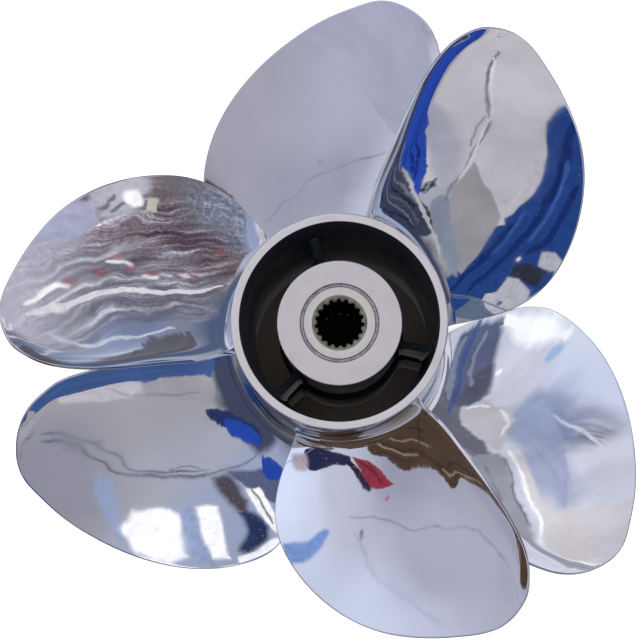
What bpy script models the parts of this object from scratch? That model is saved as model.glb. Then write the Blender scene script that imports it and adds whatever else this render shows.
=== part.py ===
# Contra-rotating pair of three-bladed boat propellers, standing on the forward hub.
# +Z is the shaft axis and points aft. The floor under the forward hub is z = 0.
# Seen from aft, the aft propeller turns clockwise and the forward one anticlockwise.

import math

import bmesh
import bpy
from mathutils import Vector

# Driving dimensions, in millimetres and degrees

GAP = 0.3

FORWARD_HUB_LENGTH = 118.0
AFT_HUB_LENGTH = 110.0
AFT_HUB_BASE = FORWARD_HUB_LENGTH + GAP
AFT_HUB_END = AFT_HUB_BASE + AFT_HUB_LENGTH - GAP

# outside radius and bore radius of each barrel, at its fore end and at its aft end
FORWARD_BARREL = {"fore": 59.5, "aft": 57.5, "bore_fore": 53.5, "bore_aft": 51.0}
AFT_BARREL = {"fore": 57.3, "aft": 55.0, "bore_fore": 47.6, "bore_aft": 50.4}

AFT_BOSS = {"radius": 32.2, "bore": 20.2, "recess_aft": 11.0, "recess_fore": 3.0}
FORWARD_BOSS = {"radius": 34.8, "bore": 30.4, "recess_aft": 6.0, "recess_fore": 8.0}

# the bushing fills the joint between boss and sleeve and stays a little below both
BUSHING_RECESS = 1.0

AFT_SLEEVE = {"radius": 18.4, "root": 12.7, "tip": 11.3, "mouth": 14.2, "teeth": 19, "turn": 7.0}
FORWARD_SLEEVE = {"radius": 28.6, "root": 23.4, "tip": 22.0, "mouth": 24.8, "teeth": 30, "turn": 0.0}

RIB_THICKNESS = 4.0
RIB_ANGLE = 106.6

# Blades. Each station is radius, leading edge angle, trailing edge angle. The angles
# run along the blade's own helix, positive towards the leading edge.

AFT_BLADE = {
    "hand": 1.0,
    "phase": 41.2,
    "middle": AFT_HUB_END - 55.9,
    "pitch": 472.0,
    "rake": 0.28,
    "root": 55.0,
    "tip": 172.7,
    "tip_angle": -15.8,
    "stations": (
        (56.0, 36.0, -33.0),
        (72.0, 35.2, -33.9),
        (88.0, 34.0, -32.9),
        (104.0, 31.4, -31.8),
        (118.0, 27.2, -30.9),
        (130.0, 21.9, -29.9),
        (142.0, 15.6, -28.6),
        (152.0, 9.4, -27.0),
        (160.0, 2.9, -25.0),
        (166.0, -4.4, -22.8),
        (170.0, -10.2, -20.1),
    ),
    "root_thickness": 9.0,
    "tip_thickness": 3.2,
    "cup": 2.4,
}

FORWARD_BLADE = {
    "hand": -1.0,
    "phase": 90.5,
    "middle": AFT_HUB_END - 164.3,
    "pitch": 553.0,
    "rake": 0.24,
    "root": 58.0,
    "tip": 195.7,
    "tip_angle": -7.2,
    "stations": (
        (57.0, 37.6, -30.0),
        (75.0, 41.4, -28.0),
        (95.0, 43.2, -26.0),
        (115.0, 43.0, -24.7),
        (130.0, 40.4, -23.8),
        (145.0, 33.8, -22.9),
        (158.0, 26.2, -21.9),
        (170.0, 17.5, -19.9),
        (180.0, 9.3, -17.6),
        (188.0, 2.3, -14.4),
        (193.0, -3.2, -11.2),
    ),
    "root_thickness": 9.5,
    "tip_thickness": 3.4,
    "cup": 2.8,
}

LEADING_THICKNESS = 1.6
TRAILING_THICKNESS = 2.4
ROOT_FILLET = 8.0
BLADE_COLUMNS = 18
BLADE_ROWS = 16
FOOT_CUTS = 3
BARREL_SEGMENTS = 72
BOSS_SEGMENTS = 60


# Materials

def make_material(name, colour, roughness, metallic):
    material = bpy.data.materials.new(name)
    material.use_nodes = True
    shader = material.node_tree.nodes["Principled BSDF"]
    shader.inputs["Base Color"].default_value = (*colour, 1.0)
    shader.inputs["Roughness"].default_value = roughness
    shader.inputs["Metallic"].default_value = metallic
    material.diffuse_color = (*colour, 1.0)
    return material


# Small helpers

def mm(*values):
    return Vector(values) * 0.001


def add_object(name, bm, material, parent=None):
    bmesh.ops.recalc_face_normals(bm, faces=bm.faces[:])
    mesh = bpy.data.meshes.new(name)
    bm.to_mesh(mesh)
    bm.free()
    mesh.shade_smooth()
    mesh.set_sharp_from_angle(angle=math.radians(30.0))
    mesh.materials.append(material)
    obj = bpy.data.objects.new(name, mesh)
    bpy.context.scene.collection.objects.link(obj)
    obj.parent = parent
    return obj


def smooth_curve(x, points):
    # cubic through the given points, with the slope at each point taken from its neighbours
    count = len(points)
    i = 0
    while i < count - 2 and x > points[i + 1][0]:
        i += 1
    x0, y0 = points[i]
    x1, y1 = points[i + 1]

    def slope(k):
        low = points[max(k - 1, 0)]
        high = points[min(k + 1, count - 1)]
        return (high[1] - low[1]) / (high[0] - low[0])

    width = x1 - x0
    t = (x - x0) / width
    rise = (2 * t**3 - 3 * t**2 + 1) * y0 + (3 * t**2 - 2 * t**3) * y1
    lean = (t**3 - 2 * t**2 + t) * slope(i) + (t**3 - t**2) * slope(i + 1)
    return rise + lean * width


def turned_bmesh(profile, segments):
    # a closed profile of (radius, height) points, turned once about Z
    bm = bmesh.new()
    verts = [bm.verts.new(mm(radius, 0.0, height)) for radius, height in profile]
    edges = []
    for first, second in zip(verts, verts[1:] + verts[:1]):
        edges.append(bm.edges.new((first, second)))
    bmesh.ops.spin(
        bm,
        geom=verts + edges,
        cent=(0.0, 0.0, 0.0),
        axis=(0.0, 0.0, 1.0),
        angle=math.tau,
        steps=segments,
        use_merge=True,
    )
    bmesh.ops.remove_doubles(bm, verts=bm.verts[:], dist=0.000001)
    return bm


# Hub pieces

def barrel_radius(barrel, base, length, z):
    share = min(max((z - base) / length, 0.0), 1.0)
    return barrel["fore"] + (barrel["aft"] - barrel["fore"]) * share


def bore_radius(barrel, base, length, z):
    share = min(max((z - base) / length, 0.0), 1.0)
    return barrel["bore_fore"] + (barrel["bore_aft"] - barrel["bore_fore"]) * share


def make_barrel(name, barrel, base, top, material, parent):
    # the round outer wall of the hub, with small chamfers on its end rings
    edge = 0.6
    profile = (
        (barrel["fore"], base + edge),
        (barrel["aft"], top - edge),
        (barrel["aft"] - edge, top),
        (barrel["bore_aft"] + edge, top),
        (barrel["bore_aft"], top - edge),
        (barrel["bore_fore"], base + edge),
        (barrel["bore_fore"] + edge, base),
        (barrel["fore"] - edge, base),
    )
    return add_object(name, turned_bmesh(profile, BARREL_SEGMENTS), material, parent)


def make_boss(name, boss, base, top, material, parent):
    # the thick inner tube that carries the splined sleeve
    low = base + boss["recess_fore"]
    high = top - boss["recess_aft"]
    edge = 0.8
    profile = (
        (boss["radius"], low + edge),
        (boss["radius"], high - edge),
        (boss["radius"] - edge, high),
        (boss["bore"], high),
        (boss["bore"], low),
        (boss["radius"] - edge, low),
    )
    return add_object(name, turned_bmesh(profile, BOSS_SEGMENTS), material, parent)


def make_sleeve(name, sleeve, low, high, material, parent):
    # the sleeve's bore is first turned at the root radius; then half the steps around it
    # move in to the tip radius, which leaves the spline teeth
    steps = sleeve["teeth"] * 4
    mouth = 2.6
    profile = (
        (sleeve["radius"], low),
        (sleeve["radius"], high),
        (sleeve["mouth"], high),
        (sleeve["root"], high - mouth),
        (sleeve["root"], low + mouth),
        (sleeve["mouth"], low),
    )
    bm = turned_bmesh(profile, steps)
    for vert in bm.verts:
        radius = math.hypot(vert.co.x, vert.co.y)
        if abs(radius - sleeve["root"] * 0.001) > 0.00001:
            continue
        step = round(math.atan2(vert.co.y, vert.co.x) / math.tau * steps) % 4
        if step < 2:
            factor = sleeve["tip"] / sleeve["root"]
            vert.co.x *= factor
            vert.co.y *= factor
    obj = add_object(name, bm, material, parent)
    # the first tooth is centred between steps 0 and 1, and is turned to its own angle
    obj.rotation_euler = (0.0, 0.0, math.radians(sleeve["turn"] - 180.0 / steps))
    return obj


def make_bushing(name, boss, sleeve, low, high, material, parent):
    # the thin rubber tube that is bonded between the boss and the sleeve
    outer = boss["bore"] - GAP
    inner = sleeve["radius"] + GAP
    profile = (
        (outer, low + BUSHING_RECESS),
        (outer, high - BUSHING_RECESS),
        (inner, high - BUSHING_RECESS),
        (inner, low + BUSHING_RECESS),
    )
    return add_object(name, turned_bmesh(profile, BOSS_SEGMENTS), material, parent)


def make_rib(name, angle, inner, outer_aft, outer_fore, levels, material, parent):
    # a radial web; its aft edge slopes down towards the boss
    bm = bmesh.new()
    bmesh.ops.create_cube(bm, size=1.0)
    fore, aft_outer, aft_inner = levels
    for vert in bm.verts:
        side = RIB_THICKNESS / 2 * (1.0 if vert.co.y > 0 else -1.0)
        if vert.co.x > 0:
            radius = outer_aft if vert.co.z > 0 else outer_fore
            height = aft_outer if vert.co.z > 0 else fore
        else:
            radius = inner
            height = aft_inner if vert.co.z > 0 else fore
        vert.co = mm(radius, side, height)
    rib = add_object(name, bm, material, parent)
    rib.rotation_euler = (0.0, 0.0, math.radians(angle))
    return rib


# Blades

def blade_edges(blade, radius):
    # the outline closes like a parabola at the tip, so the angles are read along
    # the square root of the distance that is left to the tip
    reach = blade["tip"] - blade["root"]

    def left(r):
        return math.sqrt(max(blade["tip"] - r, 0.0) / reach)

    leading = [(0.0, blade["tip_angle"])]
    trailing = [(0.0, blade["tip_angle"])]
    for r, lead, trail in reversed(blade["stations"]):
        leading.append((left(r), lead))
        trailing.append((left(r), trail))
    x = left(radius)
    return smooth_curve(x, leading), smooth_curve(x, trailing)


def helicoid(blade, radius, theta):
    angle = math.radians(blade["phase"] - blade["hand"] * theta)
    height = blade["middle"] - blade["pitch"] * theta / 360.0
    height += blade["rake"] * (radius - blade["root"])
    return Vector((radius * math.cos(angle), radius * math.sin(angle), height))


def helicoid_normal(blade, radius, theta):
    along = helicoid(blade, radius, theta + 0.1) - helicoid(blade, radius, theta - 0.1)
    out = helicoid(blade, radius + 0.1, theta) - helicoid(blade, radius - 0.1, theta)
    normal = along.cross(out).normalized()
    return normal if normal.z > 0 else -normal


def blade_rows(blade):
    # close rows over the root fillet, then rows that crowd together towards the tip
    rows = [blade["root"] + GAP + rise for rise in (0.0, 1.0, 3.0, 6.5)]
    reach = blade["tip"] - blade["root"]
    for i in range(1, BLADE_ROWS + 1):
        left = (1.0 - i / BLADE_ROWS) * 0.955 + 0.015
        rows.append(blade["tip"] - reach * left * left)
    return rows


def seat_on_barrel(point, hub, rise, pull):
    # the foot follows the round and the taper of the barrel under it
    current = math.hypot(point.x, point.y)
    wanted = barrel_radius(hub["barrel"], hub["base"], hub["length"], point.z) + GAP + rise
    factor = 1.0 + pull * (wanted / current - 1.0)
    return Vector((point.x * factor, point.y * factor, point.z))


def blade_point(blade, hub, radius, share, face):
    # face is 1 on the driving side, which looks aft, and 0 on the forward side
    lead, trail = blade_edges(blade, radius)
    theta = lead + (trail - lead) * share
    point = helicoid(blade, radius, theta)
    normal = helicoid_normal(blade, radius, theta)
    rise = radius - blade["root"] - GAP
    span = min(rise / (blade["tip"] - blade["root"]), 1.0)
    thickest = blade["tip_thickness"]
    thickest += (blade["root_thickness"] - blade["tip_thickness"]) * (1.0 - span) ** 1.25
    bulge = (4.0 * share * (1.0 - share)) ** 0.75
    edge = LEADING_THICKNESS + (TRAILING_THICKNESS - LEADING_THICKNESS) * share
    thickness = edge + (thickest - edge) * bulge
    flare = 0.0
    if rise < ROOT_FILLET:
        drop = min(ROOT_FILLET - rise, ROOT_FILLET)
        flare = ROOT_FILLET - math.sqrt(ROOT_FILLET**2 - drop**2)
        flare *= 0.1 + 0.8 * math.sqrt(bulge)
    chord = radius * math.radians(lead - trail)
    cup = blade["cup"] * min(rise / 40.0, 1.0) * min(chord / 90.0, 1.0) ** 2
    cup *= max((share - 0.86) / 0.14, 0.0) ** 2
    if face:
        point += normal * (cup + flare)
    else:
        point += normal * (cup - thickness - flare)
    return seat_on_barrel(point, hub, rise, max(1.0 - rise / 25.0, 0.0))


def make_blade(name, blade, hub, turn, material, parent):
    # a flat grid gets a second layer, and both layers are then laid on the two faces
    rows = blade_rows(blade)
    bm = bmesh.new()
    bmesh.ops.create_grid(bm, x_segments=BLADE_COLUMNS, y_segments=len(rows) - 1, size=1.0)
    made = bmesh.ops.extrude_face_region(bm, geom=bm.faces[:])
    upper = {item for item in made["geom"] if isinstance(item, bmesh.types.BMVert)}
    foot = {vert for vert in bm.verts if vert.co.y < -0.9999}
    for vert in bm.verts:
        column = round((vert.co.x + 1.0) / 2.0 * BLADE_COLUMNS)
        row = round((vert.co.y + 1.0) / 2.0 * (len(rows) - 1))
        share = 0.5 - 0.5 * math.cos(math.pi * column / BLADE_COLUMNS)
        share = 0.45 * column / BLADE_COLUMNS + 0.55 * share
        point = blade_point(blade, hub, rows[row], share, vert in upper)
        vert.co = point * 0.001
    across = []
    for edge in bm.edges:
        first, second = edge.verts
        if first in foot and second in foot and (first in upper) != (second in upper):
            across.append(edge)
    cut = bmesh.ops.subdivide_edges(bm, edges=across, cuts=FOOT_CUTS)
    for item in cut["geom_inner"]:
        if isinstance(item, bmesh.types.BMVert):
            item.co = seat_on_barrel(item.co * 1000.0, hub, 0.0, 1.0) * 0.001
    obj = add_object(name, bm, material, parent)
    obj.rotation_euler = (0.0, 0.0, math.radians(turn))
    return obj


# Assembly

def add_pivot(name, z):
    pivot = bpy.data.objects.new(name, None)
    pivot.empty_display_size = 0.05
    bpy.context.scene.collection.objects.link(pivot)
    pivot.location = mm(0.0, 0.0, z)
    return pivot


def make_propeller(label, barrel, boss, sleeve, blade, base, top, rib_levels, material):
    # every piece is drawn at its place on the shaft, so the pivot stays at the origin
    pivot = add_pivot(label + "_shaft_axis", 0.0)
    hub = {"barrel": barrel, "base": base, "length": top - base}
    steel = material["polished"]
    make_barrel(label + "_hub_barrel", barrel, base, top, steel, pivot)
    make_boss(label + "_hub_boss", boss, base, top, material["turned"], pivot)
    low = base + boss["recess_fore"]
    high = top - boss["recess_aft"]
    make_sleeve(label + "_splined_sleeve", sleeve, low, high, material["sleeve"], pivot)
    make_bushing(label + "_hub_bushing", boss, sleeve, low, high, material["rubber"], pivot)
    fore, aft_outer, aft_inner = rib_levels
    wall_aft = bore_radius(barrel, base, top - base, aft_outer)
    wall_fore = bore_radius(barrel, base, top - base, fore)
    for i in range(3):
        turn = 120.0 * i
        make_rib(
            "%s_hub_rib_%d" % (label, i + 1),
            RIB_ANGLE + turn,
            boss["radius"] + GAP,
            wall_aft - GAP - 0.1,
            wall_fore - GAP - 0.1,
            rib_levels,
            material["cast"],
            pivot,
        )
        make_blade("%s_blade_%d" % (label, i + 1), blade, hub, turn, steel, pivot)
    return pivot


def main():
    for old in list(bpy.data.objects):
        bpy.data.objects.remove(old, do_unlink=True)
    material = {
        "polished": make_material("polished_stainless", (0.66, 0.66, 0.70), 0.08, 1.0),
        "turned": make_material("turned_steel", (0.62, 0.63, 0.65), 0.32, 1.0),
        "sleeve": make_material("greased_steel", (0.36, 0.35, 0.30), 0.40, 1.0),
        "cast": make_material("dark_steel", (0.05, 0.05, 0.055), 0.55, 0.0),
        "rubber": make_material("bushing_rubber", (0.09, 0.085, 0.10), 0.6, 0.0),
    }
    make_propeller(
        "forward",
        FORWARD_BARREL,
        FORWARD_BOSS,
        FORWARD_SLEEVE,
        FORWARD_BLADE,
        0.0,
        FORWARD_HUB_LENGTH,
        (14.0, 96.0, 90.0),
        material,
    )
    make_propeller(
        "aft",
        AFT_BARREL,
        AFT_BOSS,
        AFT_SLEEVE,
        AFT_BLADE,
        AFT_HUB_BASE,
        AFT_HUB_END,
        (AFT_HUB_BASE + 5.0, AFT_HUB_END - 44.0, AFT_HUB_END - 58.0),
        material,
    )


main()
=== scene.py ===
# %% [markdown]
# # A pair of polished boat propellers
#
# Two three-bladed propellers share one shaft axis and turn against each other. The larger
# forward one stands on the floor and the smaller aft one stands on it, with its open hub
# towards the camera. Everything is in metres, and +Z is the shaft axis.
#
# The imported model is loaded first. It is the frame: each finished piece below takes the place
# of one of its nodes, so a piece is drawn exactly where that node is.

# %% Load the frame
import math
from functools import partial

import bmesh
import bpy
from mathutils import Matrix, Vector, noise


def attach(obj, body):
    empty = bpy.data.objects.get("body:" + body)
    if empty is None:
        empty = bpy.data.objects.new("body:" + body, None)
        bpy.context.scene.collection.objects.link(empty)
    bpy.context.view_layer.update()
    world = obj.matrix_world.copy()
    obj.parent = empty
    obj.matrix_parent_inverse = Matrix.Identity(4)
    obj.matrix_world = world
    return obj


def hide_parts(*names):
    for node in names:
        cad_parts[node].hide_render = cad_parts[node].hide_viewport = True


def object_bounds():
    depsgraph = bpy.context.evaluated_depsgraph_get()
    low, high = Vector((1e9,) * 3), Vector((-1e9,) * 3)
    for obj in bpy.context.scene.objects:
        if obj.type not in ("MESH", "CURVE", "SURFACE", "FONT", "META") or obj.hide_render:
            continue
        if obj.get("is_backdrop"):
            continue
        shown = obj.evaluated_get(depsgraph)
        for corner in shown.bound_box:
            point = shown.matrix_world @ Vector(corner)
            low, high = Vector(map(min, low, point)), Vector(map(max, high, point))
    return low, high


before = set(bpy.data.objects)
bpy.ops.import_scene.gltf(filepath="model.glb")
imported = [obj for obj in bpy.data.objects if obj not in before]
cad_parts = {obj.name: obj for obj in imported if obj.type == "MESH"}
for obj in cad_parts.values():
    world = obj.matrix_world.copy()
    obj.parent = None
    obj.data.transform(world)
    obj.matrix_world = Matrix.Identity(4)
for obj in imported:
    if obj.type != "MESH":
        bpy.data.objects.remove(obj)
cad_low, cad_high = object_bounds()
print("frame:", len(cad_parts), "nodes, box", cad_low[:], cad_high[:])

# %% [markdown]
# ## Camera
#
# The photograph looks down the shaft from about one metre, a little off the axis, so the far
# end of the hub shows as a smaller circle that has slipped towards the bottom. A long lens
# keeps that effect small. The camera's turn is built from two small angles, because the
# propellers' axis is the world's Z axis and the camera is nearly in line with it.

# %% Camera
SENSOR_WIDTH = 36.0
FOCAL_PIXELS = 1988.76
PICTURE_PIXELS = 640.0
CAMERA_PLACE = (0.00778, -0.082656, 1.228)
CAMERA_TILT = -0.083
CAMERA_SWING = -0.018

camera_data = bpy.data.cameras.new("studio_camera")
camera_data.sensor_width = SENSOR_WIDTH
camera_data.lens = FOCAL_PIXELS * SENSOR_WIDTH / PICTURE_PIXELS
camera_data.clip_start = 0.01
camera = bpy.data.objects.new("studio_camera", camera_data)
bpy.context.scene.collection.objects.link(camera)
look = Matrix.Rotation(CAMERA_SWING, 4, "Y") @ Matrix.Rotation(CAMERA_TILT, 4, "X")
camera.matrix_world = Matrix.Translation(CAMERA_PLACE) @ look.transposed()
bpy.context.scene.camera = camera
bpy.context.scene.view_settings.view_transform = "Standard"
print("camera looks along", (camera.matrix_world.to_3x3() @ Vector((0, 0, -1)))[:])

# %% [markdown]
# ## Node helpers
#
# Every finish here is a small tree of nodes that ends in one Principled shader. A few helpers
# keep the trees short. An input is either set to a value or linked to another node's output,
# and the first helper does whichever fits. A new finish comes with its object coordinates
# ready, so that a pattern stays put on the piece.

# %% Set or link an input
def feed(tree, socket, value):
    if isinstance(value, bpy.types.NodeSocket):
        tree.links.new(value, socket)
    elif socket.type == "RGBA":
        socket.default_value = (*value, 1.0)
    else:
        socket.default_value = value


def feed_all(tree, node, **values):
    for key, value in values.items():
        feed(tree, node.inputs[key.replace("_", " ")], value)


def add_node(tree, kind, **values):
    node = tree.nodes.new("ShaderNode" + kind)
    for key, value in values.items():
        if hasattr(node, key):
            setattr(node, key, value)
        else:
            feed_all(tree, node, **{key: value})
    return node


def new_finish(name):
    material = bpy.data.materials.new(name)
    material.use_nodes = True
    tree = material.node_tree
    shader = tree.nodes["Principled BSDF"]
    place = add_node(tree, "TexCoord").outputs["Object"]
    return material, tree, shader, place


# %% Patterns
def noise_of(tree, place, scale, detail=2.0, stretch=None, rough=0.5):
    if stretch:
        place = add_node(tree, "Mapping", Scale=stretch, Vector=place).outputs["Vector"]
    pattern = add_node(
        tree, "TexNoise", Scale=scale, Detail=detail, Roughness=rough, Vector=place
    )
    return pattern.outputs["Fac"]


def ramp_of(tree, share, stops):
    ramp = add_node(tree, "ValToRGB", Fac=share)
    while len(ramp.color_ramp.elements) < len(stops):
        ramp.color_ramp.elements.new(0.5)
    for element, (position, colour) in zip(ramp.color_ramp.elements, stops):
        element.position = position
        element.color = (*colour, 1.0)
    return ramp.outputs["Color"]


def blend_of(tree, share, low, high, start=0.3, end=0.7):
    return ramp_of(tree, share, ((start, low), (end, high)))


def range_of(tree, share, start, end, low, high):
    stretched = add_node(
        tree, "MapRange", Value=share, From_Min=start, From_Max=end, To_Min=low, To_Max=high
    )
    return stretched.outputs["Result"]


def bump_of(tree, height, distance, before=None):
    bump = add_node(tree, "Bump", Distance=distance, Strength=1.0, Height=height)
    if before:
        feed_all(tree, bump, Normal=before)
    return bump.outputs["Normal"]


# %% Sums and mixes
# The two colours and the result of a Mix node are found by number: their names are not unique.
MIX_BELOW, MIX_ABOVE, MIX_RESULT = 6, 7, 2


def maths(tree, operation, *values, kind="Math", result="Value"):
    node = add_node(tree, kind, operation=operation)
    for socket, value in zip(node.inputs, values):
        feed(tree, socket, value)
    return node.outputs[result]


def joined(tree, x, y):
    return add_node(tree, "CombineXYZ", X=x, Y=y).outputs["Vector"]


def laid_over(tree, below, share, colour, blend="MIX"):
    mix = add_node(tree, "Mix", data_type="RGBA", blend_type=blend, Factor=share)
    feed(tree, mix.inputs[MIX_BELOW], below)
    feed(tree, mix.inputs[MIX_ABOVE], colour)
    return mix.outputs[MIX_RESULT]


# %% [markdown]
# ## Polished stainless steel
#
# The blades and barrels are mirror polished by hand. A mirror finish is never flat: the buffing
# wheel leaves slow ripples a few millimetres wide, a faint haze of fine scratches, and a few
# pinholes of the casting. The ripples and pinholes are bump, and the haze is roughness.

# %% Mirror polished steel
def mirror_steel(name):
    material, tree, shader, place = new_finish(name)
    cloud = noise_of(tree, place, 14.0, 3.0)
    haze = noise_of(tree, place, 60.0, 6.0, (1.0, 1.0, 0.25))
    ripple = bump_of(tree, noise_of(tree, place, 45.0, 1.0), 0.00008)
    pinholes = range_of(tree, noise_of(tree, place, 900.0, 1.0), 0.18, 0.27, -0.5, 0.0)
    feed_all(
        tree,
        shader,
        Base_Color=blend_of(tree, cloud, (0.60, 0.60, 0.635), (0.70, 0.70, 0.725)),
        Metallic=1.0,
        Roughness=range_of(tree, haze, 0.35, 0.75, 0.02, 0.07),
        Normal=bump_of(tree, pinholes, 0.00003, ripple),
    )
    return material


steel = mirror_steel("mirror_polished_steel")
print("finish:", steel.name)

# %% [markdown]
# ## Turned faces, black bore, grease and rubber
#
# The ends of the barrel and the boss are cut on a lathe and left satin, so they carry fine
# rings round the shaft. The rings follow the distance from the axis, which is the length of
# the object coordinates once Z is set to nought. Inside, the exhaust passage is satin black.
# Deep in the passage the forward hub's faces are dark brown, partly black paint and partly
# painted shade, and the splined bore is near black, partly grease and partly painted shade.

# %% Distance from the shaft
def shaft_distance(tree, place):
    flat = maths(tree, "MULTIPLY", place, (1.0, 1.0, 0.0), kind="VectorMath", result="Vector")
    return maths(tree, "LENGTH", flat, kind="VectorMath")


# %% Satin turned steel
RINGS_PER_METRE = 2600.0


def turned_steel(name, low, high, rough_low, rough_high):
    material, tree, shader, place = new_finish(name)
    marks = noise_of(tree, joined(tree, shaft_distance(tree, place), 0.0), RINGS_PER_METRE, 3.0)
    cloud = noise_of(tree, place, 70.0, 4.0)
    feed_all(
        tree,
        shader,
        Base_Color=blend_of(tree, maths(tree, "ADD", marks, cloud), low, high, 0.7, 1.25),
        Metallic=1.0,
        Roughness=range_of(tree, cloud, 0.3, 0.7, rough_low, rough_high),
        Normal=bump_of(tree, marks, 0.00004),
    )
    return material


ring_steel = turned_steel("satin_ring_face", (0.60, 0.59, 0.60), (0.72, 0.71, 0.72), 0.30, 0.42)
boss_steel = turned_steel("satin_boss_face", (0.56, 0.53, 0.545), (0.67, 0.64, 0.655), 0.32, 0.46)
print("finishes:", ring_steel.name, boss_steel.name)

# %% Satin black bore
def black_bore(name, low, high, rough, shine):
    material, tree, shader, place = new_finish(name)
    cloud = noise_of(tree, place, 40.0, 5.0)
    grain = noise_of(tree, place, 700.0, 2.0)
    feed_all(
        tree,
        shader,
        Base_Color=blend_of(tree, cloud, low, high),
        Roughness=range_of(tree, cloud, 0.3, 0.7, rough, rough + 0.15),
        Specular_IOR_Level=shine,
        Normal=bump_of(tree, grain, 0.00006),
    )
    return material


bore_black, rib_black, passage_black_and_shade, spline_grease_and_shade = (
    black_bore("satin_black_bore", (0.006, 0.008, 0.012), (0.013, 0.017, 0.025), 0.36, 0.2),
    black_bore("satin_black_rib", (0.010, 0.013, 0.018), (0.020, 0.024, 0.032), 0.34, 0.4),
    # Painted shade: the forward hub's inside is dark brown, black paint in its bore and painted
    # shade on its boss face, end face and ribs deep in the passage.
    black_bore("passage_black_paint_and_painted_shade", (0.010, 0.008, 0.007), (0.022, 0.018, 0.015), 0.60, 0.1),
    # Painted shade: the splined bore is near black and shows no shine, partly old grease and
    # partly painted shade deep in the bore.
    black_bore("spline_bore_grease_and_painted_shade", (0.004, 0.004, 0.004), (0.009, 0.008, 0.007), 0.60, 0.0),
)
print("finishes:", bore_black.name, rib_black.name, passage_black_and_shade.name, spline_grease_and_shade.name)

# %% Greased sleeve steel
def greased_steel(name, bore):
    material, tree, shader, place = new_finish(name)
    distance = shaft_distance(tree, place)
    patch = noise_of(tree, place, 260.0, 4.0)
    near_bore = range_of(tree, distance, bore + 0.0001, bore + 0.0033, 1.0, 0.0)
    grease = maths(tree, "MULTIPLY", near_bore, range_of(tree, patch, 0.38, 0.58, 0.25, 1.0))
    feed_all(
        tree,
        shader,
        Base_Color=blend_of(tree, grease, (0.60, 0.59, 0.58), (0.36, 0.33, 0.22), 0.1, 0.9),
        Metallic=range_of(tree, grease, 0.0, 1.0, 0.95, 0.35),
        Specular_IOR_Level=0.3,
        Roughness=range_of(tree, patch, 0.3, 0.7, 0.24, 0.42),
        Normal=bump_of(tree, patch, 0.0003),
    )
    return material


aft_sleeve_steel = greased_steel("greased_aft_sleeve_steel", 0.0127)
forward_sleeve_steel = greased_steel("greased_forward_sleeve_steel", 0.0234)
print("finishes:", aft_sleeve_steel.name, forward_sleeve_steel.name)

# %% Bushing rubber
def bushing_rubber(name):
    material, tree, shader, place = new_finish(name)
    speck = noise_of(tree, place, 420.0, 5.0)
    feed_all(
        tree,
        shader,
        Base_Color=blend_of(tree, speck, (0.10, 0.095, 0.11), (0.27, 0.25, 0.27)),
        Roughness=range_of(tree, speck, 0.3, 0.7, 0.38, 0.6),
        Normal=bump_of(tree, speck, 0.0002),
    )
    return material


rubber = bushing_rubber("bushing_rubber_grey")
print("finish:", rubber.name)

# %% [markdown]
# ## Putting a piece into the scene
#
# Every piece ends the same way: its bmesh becomes an object at the origin, it rides on its
# propeller, and it stands for its node. Weighted normals keep the flat faces flat next to
# rounded edges, which matters on polished metal.

# %% Finish a piece
def object_from(name, bm, materials):
    mesh = bpy.data.meshes.new(name)
    bm.to_mesh(mesh)
    bm.free()
    mesh.shade_smooth()
    for material in materials:
        mesh.materials.append(material)
    made = bpy.data.objects.new(name, mesh)
    bpy.context.scene.collection.objects.link(made)
    return made


def place_piece(name, bm, materials, body, node, weighted=True):
    piece = object_from(name, bm, materials)
    if weighted:
        piece.modifiers.new("flat faces", "WEIGHTED_NORMAL").keep_sharp = True
    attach(piece, body)
    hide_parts(node)
    print(name, "has", len(piece.data.polygons), "faces and stands for", node)
    return piece


# %% [markdown]
# ## Turned pieces
#
# Barrel, boss, bushing and sleeve are lathe work. Each starts as a closed line of corners,
# radius and height in millimetres, in the plane of X and Z. Every corner is given its own
# radius with a vertex bevel, and the line is then spun once round the shaft.

# %% Turn a profile
ROUNDING_STEPS = 4
SAME_PLACE = 0.0000005


def turned(corners, segments):
    bm = bmesh.new()
    verts = [bm.verts.new((radius * 0.001, 0.0, height * 0.001)) for radius, height, _ in corners]
    for first, second in zip(verts, verts[1:] + verts[:1]):
        bm.edges.new((first, second))
    for vert, (_, _, rounding) in zip(verts, corners):
        if rounding:
            bmesh.ops.bevel(
                bm,
                geom=[vert],
                offset=rounding * 0.001,
                affect="VERTICES",
                segments=ROUNDING_STEPS,
                profile=0.5,
                material=-1,
            )
    bmesh.ops.spin(
        bm,
        geom=bm.verts[:] + bm.edges[:],
        cent=(0.0, 0.0, 0.0),
        axis=(0.0, 0.0, 1.0),
        angle=math.tau,
        steps=segments,
        use_merge=True,
    )
    bmesh.ops.remove_doubles(bm, verts=bm.verts[:], dist=SAME_PLACE)
    bmesh.ops.recalc_face_normals(bm, faces=bm.faces[:])
    return bm


# %% Where a face lies, and turning a piece
def face_place(face):
    middle = face.calc_center_median() * 1000.0
    return math.hypot(middle.x, middle.y), middle.z


def turn_about_shaft(bm, turn):
    bmesh.ops.rotate(bm, verts=bm.verts[:], matrix=Matrix.Rotation(math.radians(turn), 3, "Z"))
    bmesh.ops.recalc_face_normals(bm, faces=bm.faces[:])


# %% [markdown]
# ## Hub barrels
#
# The barrel is the round outer wall of the hub. Outside it is mirror polished like the blades,
# its end ring is turned satin, and its bore is satin black. One turned mesh carries all three,
# and each face picks its finish from where it lies.

# %% Barrels
FORWARD_END = 118.0
AFT_BASE = 118.3
AFT_END = 228.0
BARREL_SEGMENTS = 192
BARREL_WALL = 3.2
FLAT_END = 0.9
POLISHED, END_FACE, BORE = 0, 1, 2


def finish_barrel_faces(bm, outer_radius):
    for face in bm.faces:
        radius, _ = face_place(face)
        if abs(face.normal.z) > FLAT_END:
            face.material_index = END_FACE
        elif radius < outer_radius - BARREL_WALL:
            face.material_index = BORE
        else:
            face.material_index = POLISHED


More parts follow.
